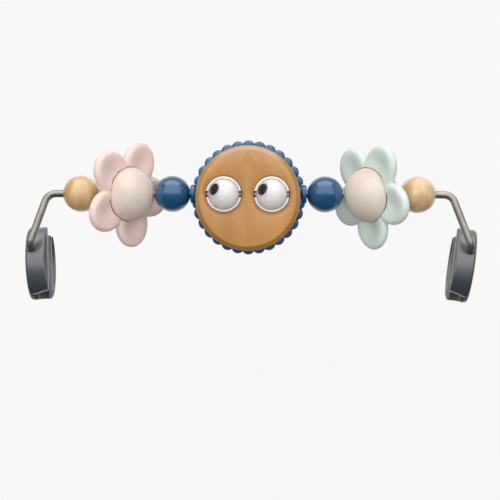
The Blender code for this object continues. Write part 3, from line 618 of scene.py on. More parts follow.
def tube(points, heads, sides, radius, columns=32):
    """A round section carried along a path, with slightly rounded ends.

    Point (i, a) is the path's point i + radius * (side cos a + (head x side) sin a). At each end four rings
    follow a quarter circle, and a last one closes on the middle line.
    """
    ease = radius * 0.18
    bend = np.linspace(0, QUARTER, 4)[:, None]
    reach, inset = ease * np.sin(bend), ease * (1 - np.cos(bend))
    radii = radius - np.concatenate([inset[::-1], np.zeros((len(points) - 2, 1)), inset])
    points = np.concatenate([points[0] - heads[0] * reach[::-1], points[1:-1], points[-1] + heads[-1] * reach])
    copies = np.ones(len(heads), int)
    copies[[0, -1]] = len(bend)
    heads, sides = np.repeat(heads, copies, axis=0), np.repeat(sides, copies, axis=0)
    a = np.linspace(0, FULL, columns + 1)[:, None]
    ring = sides[:, None] * np.cos(a) + np.cross(heads, sides)[:, None] * np.sin(a)
    ends = [np.broadcast_to(points[i], (1, columns + 1, 3)) for i in (0, -1)]
    return np.concatenate([ends[0], points[:, None] + radii[..., None] * ring, ends[1]])


class TOYBAR_OT_wire(bpy.types.Operator):
    """Sweep the bent steel wire"""

    bl_idname = "toybar.wire"
    bl_label = "Bend Wire"

    def execute(self, context):
        scene = context.scene
        route = wire_route(scene.toybar_wire, scene.toybar_clip)
        mesh = mesh_from_grids("steel_wire", [tube(*route, scene.toybar_wire.diameter / 2)], sharp=60)
        finish = satin_steel("satin_steel_finish", scene.toybar_colours.steel)
        add_piece(mesh, "frame", finish, "bar_wire")
        return {"FINISHED"}


# ---------------------------------------------------------------- beads


def ball_profile(radius, bore, mouth):
    """Half of a ball's section with a bore: outer arc, rounded mouths and the bore's wall, closed."""
    reach = math.asin((bore + mouth) / (radius - mouth))
    outer = arc((0, 0), radius, QUARTER - reach, reach - QUARTER, 48)
    lip_height = (radius - mouth) * math.cos(reach)
    lip = arc((bore + mouth, lip_height), mouth, math.pi, QUARTER - reach, 6)
    return joined(lip, outer[1:-1], lip[::-1] * (1, -1), lip[0])


def washer_profile(radius, half, edge, bore, mouth):
    """Half of a washer's section: flat faces, a round rim and eased bore edges, closed."""
    upper = joined(
        arc((bore + mouth, half - mouth), mouth, math.pi, QUARTER, 4),
        arc((radius - edge, half - edge), edge, QUARTER, 0, 8),
    )
    return joined(upper, upper[::-1] * (1, -1), upper[0])


class TOYBAR_OT_beads(bpy.types.Operator):
    """Turn the washers and the small balls"""

    bl_idname = "toybar.beads"
    bl_label = "Turn Beads"

    def execute(self, context):
        sizes, colours = context.scene.toybar_beads, context.scene.toybar_colours
        bore = sizes.bore / 2
        ball = turned(ball_profile(sizes.ball / 2, bore, sizes.mouth))
        profile = washer_profile(
            sizes.washer / 2, sizes.washer_thickness / 2, sizes.washer_edge, bore, sizes.mouth / 2
        )
        washer = turned(profile, columns=72)
        blue = lacquer("blue_bead_finish", colours.blue)
        for side, sign in SIDES:
            beech = wood(
                f"{side}_beech_finish", colours.beech, colours.beech_dark, CENTRES[f"{side}_end_ball"],
                turn=(0.35, 0.25 * sign, 1.1 * sign), figure=60, speckle=0.25, roughness=0.42, coat=0.8,
            )
            for name, shape, slot, finish in (
                ("inner_ball", ball, "blue_lacquer", blue), ("washer", washer, "blue_lacquer", blue),
                ("end_ball", ball, "oiled_beech", beech),
            ):
                body = f"{side}_{name}"
                mesh = mesh_from_grids(f"{side}_turned_{name}", [along_bar(shape, CENTRES[body])])
                add_piece(mesh, body, finish, body)
        return {"FINISHED"}


# ---------------------------------------------------------------- flowers


def dish_wave(share):
    """A half cosine wave: 1 in the middle of a dish, 0 from its crest outwards."""
    return (1 + np.cos(math.pi * np.clip(share, 0, 1))) / 2


def petal_distance(sizes, r, cos, sin):
    """How far points lie from a petal's middle, with its oval squeezed to a circle of half the breadth."""
    squeeze = sizes.petal_breadth / sizes.petal_length
    return np.hypot(squeeze * (r * cos - sizes.petal_reach), r * sin)


def petal_surface(sizes, phase, facing, columns_each=44, rows=40):
    """One face of the petal plate, as a grid over directions and distances from the hub.

    A petal is an oval. Where the squeezed distance q from its middle is under the crest, the height falls by the
    dish's wave, and from there out to the edge it follows a quarter circle. Each direction is folded smoothly
    onto the nearest petal, which leaves a soft crease between neighbours, and the plate ends where the oval does.
    """
    half_wide, half_thick = sizes.petal_breadth / 2, sizes.petal_thickness / 2
    dish = sizes.front_dish if facing > 0 else sizes.back_dish
    sector = math.pi / sizes.petals
    a = np.linspace(0, FULL, sizes.petals * columns_each + 1)
    local = np.abs(nearest(a, sector))
    softness = math.radians(1.4)
    folded = sector - np.sqrt((sector - local) ** 2 + softness ** 2) + softness * 0.35
    cos, sin = np.cos(folded), np.sin(folded)
    squeeze = sizes.petal_breadth / sizes.petal_length
    p2 = (squeeze * cos) ** 2 + sin ** 2
    p1 = squeeze ** 2 * cos * sizes.petal_reach
    p0 = (squeeze * sizes.petal_reach) ** 2 - half_wide ** 2
    edge = (p1 + np.sqrt(p1 ** 2 - p2 * p0)) / p2
    seat = sizes.ball / 2 + sizes.seat_gap
    r = seat + (edge - seat) * np.sin(np.linspace(0, QUARTER, rows))[:, None]
    q = petal_distance(sizes, r, cos, sin)
    crest = half_wide - half_thick
    outer = np.sqrt(np.maximum(half_thick ** 2 - (q - crest) ** 2, 0))
    height = np.where(q < crest, half_thick - dish * dish_wave(q / crest), outer)
    height[-1] = 0
    r = np.concatenate([np.zeros((1, len(a))), np.full((1, len(a)), seat), r])
    height = np.concatenate([np.full((2, len(a)), sizes.web / 2), height])
    return around(r, a + phase, facing * height + sizes.plate_offset)


def half_ball_profile(radius, start, edge):
    """A ball's cap above a flat cut, with an eased rim, from its top to the middle of the cut."""
    low = math.asin((start + edge) / (radius - edge))
    rim_radius = (radius - edge) * math.cos(low)
    cap = arc((0, 0), radius, QUARTER, low, 40)
    rim = arc((rim_radius, start + edge), edge, low, -QUARTER, 6)
    cap[0, 0] = 0
    return joined(cap, rim[1:], (0, start))


def petal_mesh(name, sizes, phase, centre, axes):
    """The petal plate as one closed shell, with how hollow each point lies kept for the finish to paint shade."""
    faces = [petal_surface(sizes, phase, facing) for facing in (1, -1)]
    mesh = mesh_from_grids(name, [placed(face, centre, *axes) for face in faces], sharp=60)
    u, v, w = np.stack(axes) @ points_of(mesh, centre).T
    a = nearest(np.arctan2(v, u) - phase, math.pi / sizes.petals)
    q = petal_distance(sizes, np.hypot(u, v), np.cos(a), np.sin(a))
    crest = (sizes.petal_breadth - sizes.petal_thickness) / 2
    set_value(mesh, "hollow", dish_wave(q / crest) * (w > sizes.plate_offset))
    return mesh


class TOYBAR_OT_flowers(bpy.types.Operator):
    """Mould the petal plates and turn their half balls"""

    bl_idname = "toybar.flowers"
    bl_label = "Shape Flowers"

    def execute(self, context):
        sizes, colours = context.scene.toybar_flower, context.scene.toybar_colours
        for side, sign in SIDES:
            body = f"{side}_flower"
            centre, phase = CENTRES[body], getattr(sizes, f"{side}_phase")
            tilt = rotation(getattr(sizes, f"{side}_tilt"), "X")
            turn = tilt @ rotation(-sign * sizes.turn, "Z") @ rotation(QUARTER, "X")
            front = tuple(turn.T)
            back = (front[0], -front[1], -front[2])
            slot, shade = ("pink_petals", colours.pink) if sign < 0 else ("mint_petals", colours.mint)
            mesh = petal_mesh(f"{side}_moulded_petals", sizes, phase, centre, front)
            add_piece(mesh, body, soft_plastic(f"{side}_petal_finish", shade), f"{side}_petals")
            finish = wood(
                f"{side}_washed_finish", colours.washed, colours.washed_dark, centre,
                turn=(0.5, 0.2 * sign, 0.6 * sign), figure=40, speckle=0.35, roughness=0.6,
            )
            edge = sizes.half_edge
            shadow_band = 2.8 * edge  # height of the band of painted shadow, from the cut
            for name, start, axes in (("front", sizes.front_start, front), ("back", sizes.back_start, back)):
                shape = turned(half_ball_profile(sizes.ball / 2, start, edge), columns=120)
                mesh = mesh_from_grids(f"{side}_turned_{name}_half", [placed(shape, centre, *axes)])
                # the "rim" value paints the shadow of the gap between this half and the petal plate along its cut
                # edge
                heights = points_of(mesh, centre) @ axes[2]
                set_value(mesh, "rim", np.clip((start + shadow_band - heights) / edge, 0, 1))
                add_piece(mesh, body, finish, f"{side}_flower_{name}_half")
        return {"FINISHED"}


# ---------------------------------------------------------------- face


def flat_radius(sizes):
    """Radius of a disc's flat face, within its chamfer."""
    return sizes.disc / 2 - sizes.chamfer - sizes.ease


def pierced_face(sizes, half, columns=64):
    """The flat face of the front disc round one eye hole, and the disc's rim on that side.

    Directions run once round the hole's middle. In each, the inner point lies on the hole's bevel and the
    outer one where the direction meets the disc's flat circle or the line between the two eyes.
    """
    hole_x, hole_y = half * sizes.eye_spacing / 2, sizes.eye_rise
    radius = flat_radius(sizes)
    top = math.atan2(radius - hole_y, -hole_x)
    bottom = math.atan2(-radius - hole_y, -hole_x)
    if half > 0:
        bottom += FULL
        middle, rim = (top, bottom), (bottom, top + FULL)
    else:
        middle, rim = (bottom, top), (top, bottom + FULL)
    a = np.concatenate([np.linspace(*middle, columns + 1)[:-1], np.linspace(*rim, 3 * columns + 1)])
    cos, sin = np.cos(a), np.sin(a)
    ahead = cos * hole_x + sin * hole_y
    far = -ahead + np.sqrt(ahead ** 2 + radius ** 2 - hole_x ** 2 - hole_y ** 2)
    to_line = -hole_x / np.where(np.abs(cos) < 1e-9, 1e-9, cos)
    reach = np.where(np.arange(len(a)) < columns, to_line, far)
    outer = np.stack([hole_x + reach * cos, hole_y + reach * sin], axis=-1)
    outer[:columns, 0] = 0
    outer[-1] = outer[0]
    return a, outer, outer[columns:]


def hole_rows(sizes, half, a, surface):
    """The eye hole's bevel, bore and floor, as rings round its middle from the face down."""
    bore, bevel, ease = sizes.pot_outside / 2 + sizes.gap, sizes.bevel, sizes.ease
    pot_depth = sizes.eyeball_setback + sizes.pot_inside / 2 + sizes.pot_floor
    floor = surface - sizes.pot_recess - pot_depth - sizes.gap
    rows = joined(
        (bore + bevel, surface) + ease * EASED * (-1, 1), (bore + ease * 0.5, surface - bevel + ease * 0.3),
        (bore, surface - bevel - ease * 0.6), (bore, floor), (0, floor),
    )
    return around(rows[:, :1], a, rows[:, 1:]) + (half * sizes.eye_spacing / 2, sizes.eye_rise, 0)


def rim_profile(sizes, top, bottom):
    """Radius and height of a disc's side: eased chamfer, side wall and eased inner edge."""
    radius, chamfer, ease = sizes.disc / 2, sizes.chamfer, sizes.ease
    return joined(
        (radius - chamfer, top) + ease * EASED, (radius, top - chamfer) + ease * EASED[::-1, ::-1],
        (radius, bottom + 2 * ease), (radius - ease * 0.6, bottom + ease * 0.6),
        (radius - 2 * ease, bottom), (0, bottom),
    )


def front_disc_grids(sizes):
    """The front disc: two pierced half faces, the eye holes and the rim, all sharing their edge points."""
    top, bottom = sizes.start + sizes.front_depth, sizes.start
    grids, rims = [], []
    for half in (-1, 1):
        a, outer, rim = pierced_face(sizes, half)
        hole = hole_rows(sizes, half, a, top)
        edge = np.concatenate([outer, np.full((len(outer), 1), top)], axis=1)
        grids += [np.stack([hole[0], edge]), hole]
        rims.insert(0, rim)
    x, y = np.concatenate(rims).T
    a = np.append(np.unique(np.round(np.sort(np.arctan2(y, x) % FULL), 9)), 0)
    a[-1] = a[0] + FULL
    profile = rim_profile(sizes, top, bottom)
    return [*grids, around(profile[:, :1], a, profile[:, 1:])]


def lobed_ring_grid(sizes, seat, columns_each=24):
    """The blue ring as a grid over directions and depth.

    For a depth y the outline is drawn in by the rounding's circle. The outline is the far side of each lobe's
    circle, shrunk by that inset, or the inset circle round the valley point between two lobes, whichever is
    nearer the middle. Beside the washers it is cut back to a flat seat.
    """
    ring, lobe, pitch = sizes.lobe_circle, sizes.lobe, math.pi / sizes.lobes
    half, rounding = sizes.ring_thickness / 2, sizes.lobe_rounding
    a = np.linspace(0, FULL, sizes.lobes * columns_each + 1)
    local = np.abs(nearest(a - QUARTER, pitch))
    valley = ring * math.cos(pitch) + math.sqrt(lobe ** 2 - (ring * math.sin(pitch)) ** 2)
    bend = np.linspace(0, QUARTER, 9)
    rise, inset = half - rounding * (1 - np.cos(bend)), rounding * (1 - np.sin(bend))
    depth = np.concatenate([[half], rise, -rise[::-1], [-half]])
    s = np.concatenate([inset, inset[::-1]])[:, None]
    under = (lobe - s) ** 2 - (ring * np.sin(local)) ** 2
    lobes = np.where(under >= 0, ring * np.cos(local) + np.sqrt(np.maximum(under, 0)), np.inf)
    away = valley * np.sin(pitch - local)
    near = s ** 2 - away ** 2
    valleys = np.where(near >= 0, valley * np.cos(pitch - local) - np.sqrt(np.maximum(near, 0)), np.inf)
    r = np.minimum(lobes, valleys)
    r = np.where(np.isinf(r), ring * np.cos(local), r)
    r = np.concatenate([np.zeros((1, len(a))), r, np.zeros((1, len(a)))])
    x, z = r * np.cos(a), r * np.sin(a)
    y = np.broadcast_to(depth[:, None], x.shape)
    inside = (z - sizes.drop) ** 2 + y ** 2 < (sizes.spot_face / 2) ** 2
    limit = np.where(inside & (np.abs(x) > seat), seat / np.maximum(np.abs(x), 1e-9), 1)
    return np.stack([x * limit, z * limit, y], axis=-1)


class TOYBAR_OT_face(bpy.types.Operator):
    """Shape the two wooden discs and the lobed ring"""

    bl_idname = "toybar.face"
    bl_label = "Shape Face"

    def execute(self, context):
        sizes, colours = context.scene.toybar_face, context.scene.toybar_colours
        centre = CENTRES["face"] - sizes.drop * Z
        heart = centre - 0.03 * X  # the wood's pattern is taken from here
        finish = wood(
            "face_disc_finish", colours.face, colours.face_dark, heart,
            turn=(0, 0.12, 0), figure=20, speckle=0.1, roughness=0.36, coat=1.0,
        )
        mesh = mesh_from_grids("wooden_face", [to_front(grid, centre) for grid in front_disc_grids(sizes)])
        # a faint "rim" darkening of the slant round the face: partly stain, partly painted shade
        across, _, high = points_of(mesh, centre).T
        past_flat, faint = (np.hypot(across, high) - flat_radius(sizes)) / sizes.ease, 0.15
        set_value(mesh, "rim", faint * np.clip(past_flat, 0, 1))
        add_piece(mesh, "face", finish, "face_disc")
        profile = rim_profile(sizes, sizes.start + sizes.back_depth, sizes.start)
        shape = turned(joined((0, profile[0, 1]), profile), columns=192)
        mesh = mesh_from_grids("wooden_back", [to_back(shape, centre)])
        add_piece(mesh, "face", finish, "back_disc")
        ring = lobed_ring_grid(sizes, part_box("right_washer")[0].x - sizes.gap)
        mesh = mesh_from_grids("lobed_ring", [to_front(ring, centre)], sharp=45)
        # the ring's blue is 1.3 times the beads': a painted highlight for the light its small lobes catch
        blue = lacquer("blue_ring_finish", shaded_by(colours.blue, 1.3))
        add_piece(mesh, "face", blue, "scalloped_wheel")
        return {"FINISHED"}


# ---------------------------------------------------------------- eyes


def pot_grid(sizes, columns=40, slot_columns=12):
    """A pot with two slots: rings of points whose heights are cut down to the slots.

    Round each ring, the points outside the slots are evenly spaced, and those in a slot keep the same
    sideways distance s at every radius. There the height is at most -sqrt(w^2 - s^2) less the slot's depth, its
    round bottom, with w half the slot's width.
    """
    inside, outside = sizes.pot_inside / 2, sizes.pot_outside / 2
    face, edge, w = sizes.eyeball_setback, sizes.pot_edge, sizes.slot / 2
    foot, heel = inside + sizes.pot_floor, outside * math.sin(sizes.pot_heel)
    profile = joined(
        arc((0, 0), inside, -QUARTER, 0, 14),
        line((inside, 0), (inside, face - edge), 3)[1:],
        arc((inside + edge, face - edge), edge, math.pi, QUARTER, 5)[1:],
        arc((outside - edge, face - edge), edge, QUARTER, 0, 5),
        line((outside, face - edge), (outside, -heel), 6)[1:],
        (heel, -foot), (0, -foot),
    )
    profile[0, 0] = 0
    radius = np.maximum(profile[:, :1], 1e-9)
    share = np.minimum(w / np.maximum(radius, w), 1)
    edge_angle = np.arcsin(share)
    s = w * np.sin(np.linspace(-QUARTER, QUARTER, slot_columns + 1))
    t = np.linspace(0, 1, columns + 1)
    blocks, heights = [], []
    for start in (0, math.pi):
        slot_angle = start + np.arcsin(np.clip(s / np.maximum(radius, w), -1, 1))
        blocks.append(slot_angle)
        heights.append(np.minimum(profile[:, 1:], -np.sqrt(np.maximum(w ** 2 - s ** 2, 0)) - sizes.slot_depth))
        blocks.append(start + edge_angle + t * (math.pi - 2 * edge_angle))
        heights.append(np.broadcast_to(profile[:, 1:], (len(profile), len(t))))
    blocks.append(FULL - edge_angle)
    heights.append(heights[0][:, :1])
    a, height = np.concatenate(blocks, axis=1), np.concatenate(heights, axis=1)
    return around(profile[:, :1], a, height)


def eyeball_grids(sizes, gaze_axes):
    """A ball with a round pocket for the pupil, turned about its gaze, and two axle stubs along the bar."""
    play, pocket_depth, edge, tip, sunk = 0.00012, 0.0006, 0.00015, 0.0003, 0.001
    lap = 0.03  # angle over which the pocket's eased rim meets the ball
    radius, pupil = sizes.eyeball / 2, sizes.pupil / 2 + play
    rim = math.asin(pupil / radius)
    top = radius * math.cos(rim)
    profile = joined(
        (0, top - pocket_depth), (pupil, top - pocket_depth), (pupil, top - edge),
        (pupil + edge * 0.4, top - edge * 0.35), arc((0, 0), radius, QUARTER - rim - lap, -QUARTER, 60),
    )
    profile[-1, 0] = 0
    ball = placed(turned(profile), (0, 0, 0), *gaze_axes)
    axle, root, end = sizes.axle / 2, radius - sunk, radius + sizes.axle_reach
    stub = joined((0, root), (axle, root), arc((axle - tip, end - tip), tip, 0, QUARTER, 4), (0, end))
    stub = turned(stub, columns=32)
    return [ball, along_bar(stub), placed(stub, across=Z, up=Y, along=-X)]


def pupil_grid(sizes, gaze_axes):
    """The pupil's plug: a crown that follows the eyeball, an eased rim and a flat foot."""
    proud, ease, rim_depth, depth = 0.00004, 0.00005, 0.0002, 0.0005
    lap = 0.03  # angle over which the crown meets the eased rim
    radius, pupil = sizes.eyeball / 2, sizes.pupil / 2
    rim = math.asin(pupil / radius)
    top = radius * math.cos(rim)
    crown = arc((0, 0), radius + proud, QUARTER, QUARTER - rim + lap, 16)
    crown[0, 0] = 0
    profile = joined(
        crown, (pupil - ease, top - ease), (pupil, top - rim_depth), (pupil, top - depth), (0, top - depth)
    )
    return placed(turned(profile, columns=72), (0, 0, 0), *gaze_axes)


class TOYBAR_OT_eyes(bpy.types.Operator):
    """Mould the eye pots, eyeballs and pupils"""

    bl_idname = "toybar.eyes"
    bl_label = "Mould Eyes"

    def execute(self, context):
        sizes, colours = context.scene.toybar_face, context.scene.toybar_colours
        left, up = math.sin(sizes.gaze_left), math.sin(sizes.gaze_up)
        gaze = Vector((-left, -math.sqrt(1 - left ** 2 - up ** 2), up))
        axes = tuple(np.array(gaze.to_track_quat("Z", "Y").to_matrix()).T)
        pot, ball, pupil = pot_grid(sizes), eyeball_grids(sizes, axes), pupil_grid(sizes, axes)
        speck, grey_speck = (0.72, 0.70, 0.66), (0.05, 0.05, 0.05)
        white = glossy("white_eye_finish", colours.white, speck, roughness=0.4, coat=0.1, depth=1.0)
        # the pots' white is 1.1 times the eyeballs': painted brightening that offsets the shade on the sunken pots
        brightened_pot_white = glossy("white_pot_finish", shaded_by(colours.white, 1.1), speck, roughness=0.3, coat=0.2)
        black = glossy("black_pupil_finish", colours.black, grey_speck, roughness=0.2, coat=0.25)
        for side, _ in SIDES:
            eye, centre = f"{side}_eye", CENTRES[f"{side}_eye"]
            for name, grids, body, slot, finish, node in (
                ("eye_pot", [to_front(pot, centre)], "face", "white_eye", brightened_pot_white, f"{eye}_cup"),
                ("eyeball", [grid + centre for grid in ball], eye, "white_eye", white, f"{side}_eyeball"),
                ("pupil", [pupil + centre], eye, "black_pupil", black, f"{side}_pupil"),
            ):
                add_piece(mesh_from_grids(f"{side}_moulded_{name}", grids, sharp=35), body, finish, node)
        return {"FINISHED"}


# ---------------------------------------------------------------- clips


def prism(outline, profile):
    """A closed outline of (u, v) points carried along w and capped at both ends.

    The profile's rows are (inset, w): each ring is the outline moved inwards by the inset, along its normals,
    at that w.
    """
    ring = np.concatenate([outline, outline[:1]])
    ahead = np.roll(outline, -1, 0) - np.roll(outline, 1, 0)
    normal = np.stack([ahead[:, 1], -ahead[:, 0]], axis=-1)
    normal /= np.linalg.norm(normal, axis=1, keepdims=True)
    normal = np.concatenate([normal, normal[:1]])
    rows = ring[None] - profile[:, 0, None, None] * normal[None]
    along = np.broadcast_to(profile[:, 1, None], rows.shape[:2])
    grid = np.concatenate([rows, along[..., None]], axis=-1)
    middle = outline.mean(0)
    caps = [np.broadcast_to((*middle, profile[i, 1]), (1, len(ring), 3)) for i in (0, -1)]
    return np.concatenate([caps[0], grid, caps[1]])


def plain_prism(outline, low, high):
    """A closed outline carried straight from one end to the other."""
    return prism(np.asarray(outline, float), np.array([(0, low), (0, high)]))


def channel_section(sizes, half, mouth):
    """The channel's outline: a flat floor with round corners, and lips that narrow its mouth."""
    corner, floor = sizes.channel_corner, sizes.back_wall - sizes.width / 2
    beyond = OVERRUN + sizes.jaw_recess
    side = joined(
        arc((floor + corner, half - corner), corner, math.pi, QUARTER, 10),
        (mouth - 2 * sizes.lip_length, half), (mouth - sizes.lip_length, half - sizes.lip),
        (mouth, half), (mouth + beyond, half + beyond),
    )
    return joined(side, side[::-1] * (1, -1))


def clip_cutters(sizes, sign):
    """The bodies to cut out of the clip's oval plate, in the clip's own axes: x across, y deep, z high."""
    inward, half, rim = -sign, sizes.channel / 2, sizes.width / 2
    jaw, mouth, beyond = half + sizes.jaw, rim - sizes.jaw_recess, rim + OVERRUN
    past_jaw, front, top = jaw + sizes.overlap, sizes.depth / 2 + OVERRUN, sizes.height / 2 + OVERRUN

    def through_depth(outline, low, high):
        """A body drawn across the clip's width and height and carried along its depth."""
        return placed(plain_prism(outline, low, high), across=inward * X, up=Z, along=Y)

    radii = (sizes.depth / 2 - sizes.wall, sizes.height / 2 - sizes.wall)
    reach = math.acos(jaw / radii[0])
    crescent = arc((0, 0), radii, -reach, reach, 48)
    pocket = along_bar(plain_prism(crescent, inward * beyond, inward * (sizes.back_wall - rim)))
    cutters = {"back_pocket": pocket, "front_pocket": pocket * (1, -1, 1)}
    cutters["channel"] = plain_prism(channel_section(sizes, half, mouth), -top, top) * (inward, 1, 1)
    recess = [(mouth, -top), (beyond, -top), (beyond, top), (mouth, top)]
    cutters["recess"] = through_depth(recess, -past_jaw, past_jaw)

    deep, chord = sizes.scoop_depth, sizes.scoop_length / 2
    radius = (chord ** 2 + deep ** 2) / (2 * deep)
    bend = math.acos(1 - (deep + OVERRUN) / radius)
    scoop = arc((rim - deep + radius, 0), radius, math.pi - bend, math.pi + bend, 40)
    cutters["scoop"] = through_depth(scoop, -front, -past_jaw)

    slope = math.tan(sizes.jaw_slope)
    height, rise = sizes.jaw_end - OVERRUN * slope, 2 * beyond * slope
    corner = [(beyond, height), (beyond, top + rise), (-beyond, top + rise), (-beyond, height + rise)]
    corner = through_depth(corner, half - sizes.lip - OVERRUN, front)
    cutters.update({"back_end": corner, "front_end": corner * (1, -1, -1)})

    stub, hole = (sign * sizes.stub_offset, 0, sizes.stub_rise), sizes.stub_hole / 2
    cutters["hole"], boss = (
        to_front(turned(joined((0, front), (radius, front), (radius, back), (0, back)), columns=48), stub)
        for radius, back in ((hole, jaw), (hole + sizes.boss_wall, jaw - sizes.jaw / 2))
    )
    return cutters, boss


def carved(name, plate, cutters, soften=0.0):
    """A mesh with others cut out of it and, where asked, its edges softened. The bodies are removed again."""
    body, *others = objects = [add_object(label, mesh) for label, mesh in ((name, plate), *cutters)]
    for cutter in others:
        boolean = body.modifiers.new(cutter.name, "BOOLEAN")
        boolean.operation = "DIFFERENCE"
        boolean.solver = "EXACT"
        boolean.object = cutter
    if soften:
        bevel = body.modifiers.new("soft_edges", "BEVEL")
        bevel.width = soften
        bevel.segments = 2
        bevel.limit_method = "ANGLE"
        bevel.angle_limit = math.radians(40)
        bevel.use_clamp_overlap = False
    bpy.context.view_layer.update()
    result = bpy.data.meshes.new_from_object(body.evaluated_get(bpy.context.evaluated_depsgraph_get()))
    for item in objects:
        bpy.data.objects.remove(item, do_unlink=True)
    return result


def clip_mesh(name, sizes, sign):
    """The moulded clip in its own axes: an oval plate with round rims, less its pockets, channel and hole."""
    half, edge, inner = sizes.width / 2 - sizes.trim, sizes.edge, sizes.inner_edge
    profile = joined(
        arc((edge, half - edge), edge, QUARTER, math.pi, 10),
        arc((inner, inner - half), inner, math.pi, math.pi + QUARTER, 10),
    ) * (1, sign)
    radii = (sizes.depth / 2 - sizes.trim, sizes.height / 2 - sizes.trim)
    plate = mesh_from_grids(name, [along_bar(prism(arc((0, 0), radii, 0, FULL, 160)[:-1], profile))])
    grids, boss = clip_cutters(sizes, sign)
    cutters = {key: mesh_from_grids(f"{name}_{key}", [grid]) for key, grid in grids.items()}
    boss = mesh_from_grids(f"{name}_boss", [boss])
    cutters["front_pocket"] = carved(f"{name}_front", cutters["front_pocket"], [(f"{name}_boss", boss)])
    mesh = carved(name, plate, [(f"{name}_{key}", cutter) for key, cutter in cutters.items()], sizes.soft_edge)
    return welded(mesh, sharp=35, distance=2e-6)


class TOYBAR_OT_clips(bpy.types.Operator):
    """Mould the two seat clips"""

    bl_idname = "toybar.clips"
    bl_label = "Mould Clips"

    def execute(self, context):
        sizes, colours = context.scene.toybar_clip, context.scene.toybar_colours
        finish = moulded_grey("grey_clip_finish", colours.grey)
        for side, sign in SIDES:
            lean = sign * getattr(sizes, f"{side}_lean")
            turn = Matrix.Rotation(-sizes.pitch, 3, "X") @ Matrix.Rotation(lean, 3, "Y")
            floor = Vector((-sign * (sizes.back_wall - sizes.width / 2), 0, 0))
            centre = Vector(MOUNTS[f"{side}_channel_floor"]["pos_m"]) - turn @ floor
            mesh = clip_mesh(f"{side}_seat_clip", sizes, sign)
            mesh.transform(Matrix.Translation(centre) @ turn.to_4x4())
            add_piece(mesh, "frame", finish, f"{side}_rail_clip")
        return {"FINISHED"}


# ---------------------------------------------------------------- hidden pins and stage


class TOYBAR_OT_pins(bpy.types.Operator):
    """Give the hidden dowels their wood"""

    bl_idname = "toybar.pins"
    bl_label = "Finish Dowels"

    def execute(self, context):
        colours = context.scene.toybar_colours
        finish = wood(
            "dowel_finish", colours.beech, colours.beech_dark, WIRE_AT,
            turn=(QUARTER, 0, 0), figure=60, speckle=0.3, roughness=0.5,
        )
        for name, node in frame["nodes"].items():
            if "dowel" in name:
                for slot in node.material_slots:
                    slot.material = finish
        return {"FINISHED"}


class Studio(Nodes):
    """Nodes of the floor's or the world's shading, which tell the camera's view from the light."""

    def __init__(self, tree):
        super().__init__(tree)
        tree.nodes.clear()

    def seen(self, mirrored):
        """1 for what the camera sees, and a share of it for what reflections and clear pieces show."""
        camera, glint, clear = (
            self.add("ShaderNodeLightPath", {}, {}, f"Is {ray} Ray") for ray in ("Camera", "Glossy", "Transmission")
        )
        return camera.larger(glint.larger(clear) * mirrored)

    def show(self, kind, share, light, seen):
        """Mixes the shader that lights with the one that is seen, and sends them to the tree's output."""
        mix = self.add("ShaderNodeMixShader", {}, {0: share, 1: light, 2: seen})
        self.tree.links.new(mix.socket, self.tree.nodes.new(kind).inputs[0])


def pale_stage_material(shade):
    """The floor: pale to the camera, with the object's shadow kept near it and none at its far edge."""
    material = bpy.data.materials.new("pale_stage")
    material.use_nodes = True
    studio = Studio(material.node_tree)
    away = studio.add("ShaderNodeVectorMath", {"operation": "LENGTH"}, {0: studio.place()}, "Value")
    share = studio.seen(1.0) * away.ramp(0.2, 2.5, 0.88, 1.0)
    diffuse, glow = (
        studio.add(kind, {}, {"Color": (*shade, 1)}) for kind in ("ShaderNodeBsdfDiffuse", "ShaderNodeEmission")
    )
    studio.show("ShaderNodeOutputMaterial", share, diffuse, glow)
    return material


def pale_world(shade, below, above, behind):
    """The world: a pale backdrop to the camera and in reflections, and soft light that is weaker from below.

    The backdrop stands behind the object, so reflections show it on that side and it lights the back, while
    the side of the camera is a plain dim room.
    """
    world = bpy.data.worlds.new("pale_studio")
    world.use_nodes = True
    bpy.context.scene.world = world
    studio = Studio(world.node_tree)
    place = studio.place("Generated")
    deep, high = (studio.add("ShaderNodeSeparateXYZ", {}, {0: place}, axis) for axis in "YZ")
    backdrop = deep.ramp(0.2, 0.8)
    strength = high.ramp(-0.5, 0.5, below, above) + backdrop * behind
    light = studio.add("ShaderNodeBackground", {}, {"Strength": strength})
    pale = studio.add("ShaderNodeBackground", {}, {"Color": (*shade, 1)})
    studio.show("ShaderNodeOutputWorld", studio.seen(backdrop), light, pale)


def add_lamp(name, place, target, size, brightness):
    """A soft rectangular lamp that faces a point. Its power is brightness * pi * area."""
    data = bpy.data.lights.new(name, "AREA")
    data.shape = "RECTANGLE"
    data.size, data.size_y = size
    data.energy = brightness * math.pi * size[0] * size[1]
    lamp = add_object(name, data)
    lamp.location = place
    lamp.rotation_euler = (Vector(target) - Vector(place)).to_track_quat("-Z", "Y").to_euler()
    lamp.visible_camera = False
    return lamp


def add_camera():
    """The photograph's camera: 950 mm away, 3.8 degrees above the bar and turned 1.9 degrees."""
    distance, rise, yaw, roll = 0.950, math.radians(3.8), math.radians(1.857), math.radians(0.159)
    shift, drop, metres_per_pixel, pixels, sensor = 0.00137, 0.04896, 0.0008779, 500, 36
    turn = rotation(yaw, "Z")
    sin, cos = math.sin(rise), math.cos(rise)
    place = turn @ np.array([shift, -drop * sin - distance * cos, -drop * cos + distance * sin])
    place += np.array([0, WIRE_AT[1], WIRE_AT[2]])
    right, up, ahead = turn @ X, turn @ np.array([0, sin, cos]), turn @ np.array([0, cos, -sin])
    data = bpy.data.cameras.new("photo_view")
    data.sensor_width, data.clip_end = sensor, 20
    data.lens = sensor * distance / metres_per_pixel / pixels
    camera = add_object("photo_view", data)
    axes = Matrix(np.stack([right, up, -ahead], axis=1).tolist()).to_4x4()
    camera.matrix_world = Matrix.Translation(Vector(place)) @ axes @ Matrix.Rotation(roll, 4, "Z")
    bpy.context.scene.camera = camera


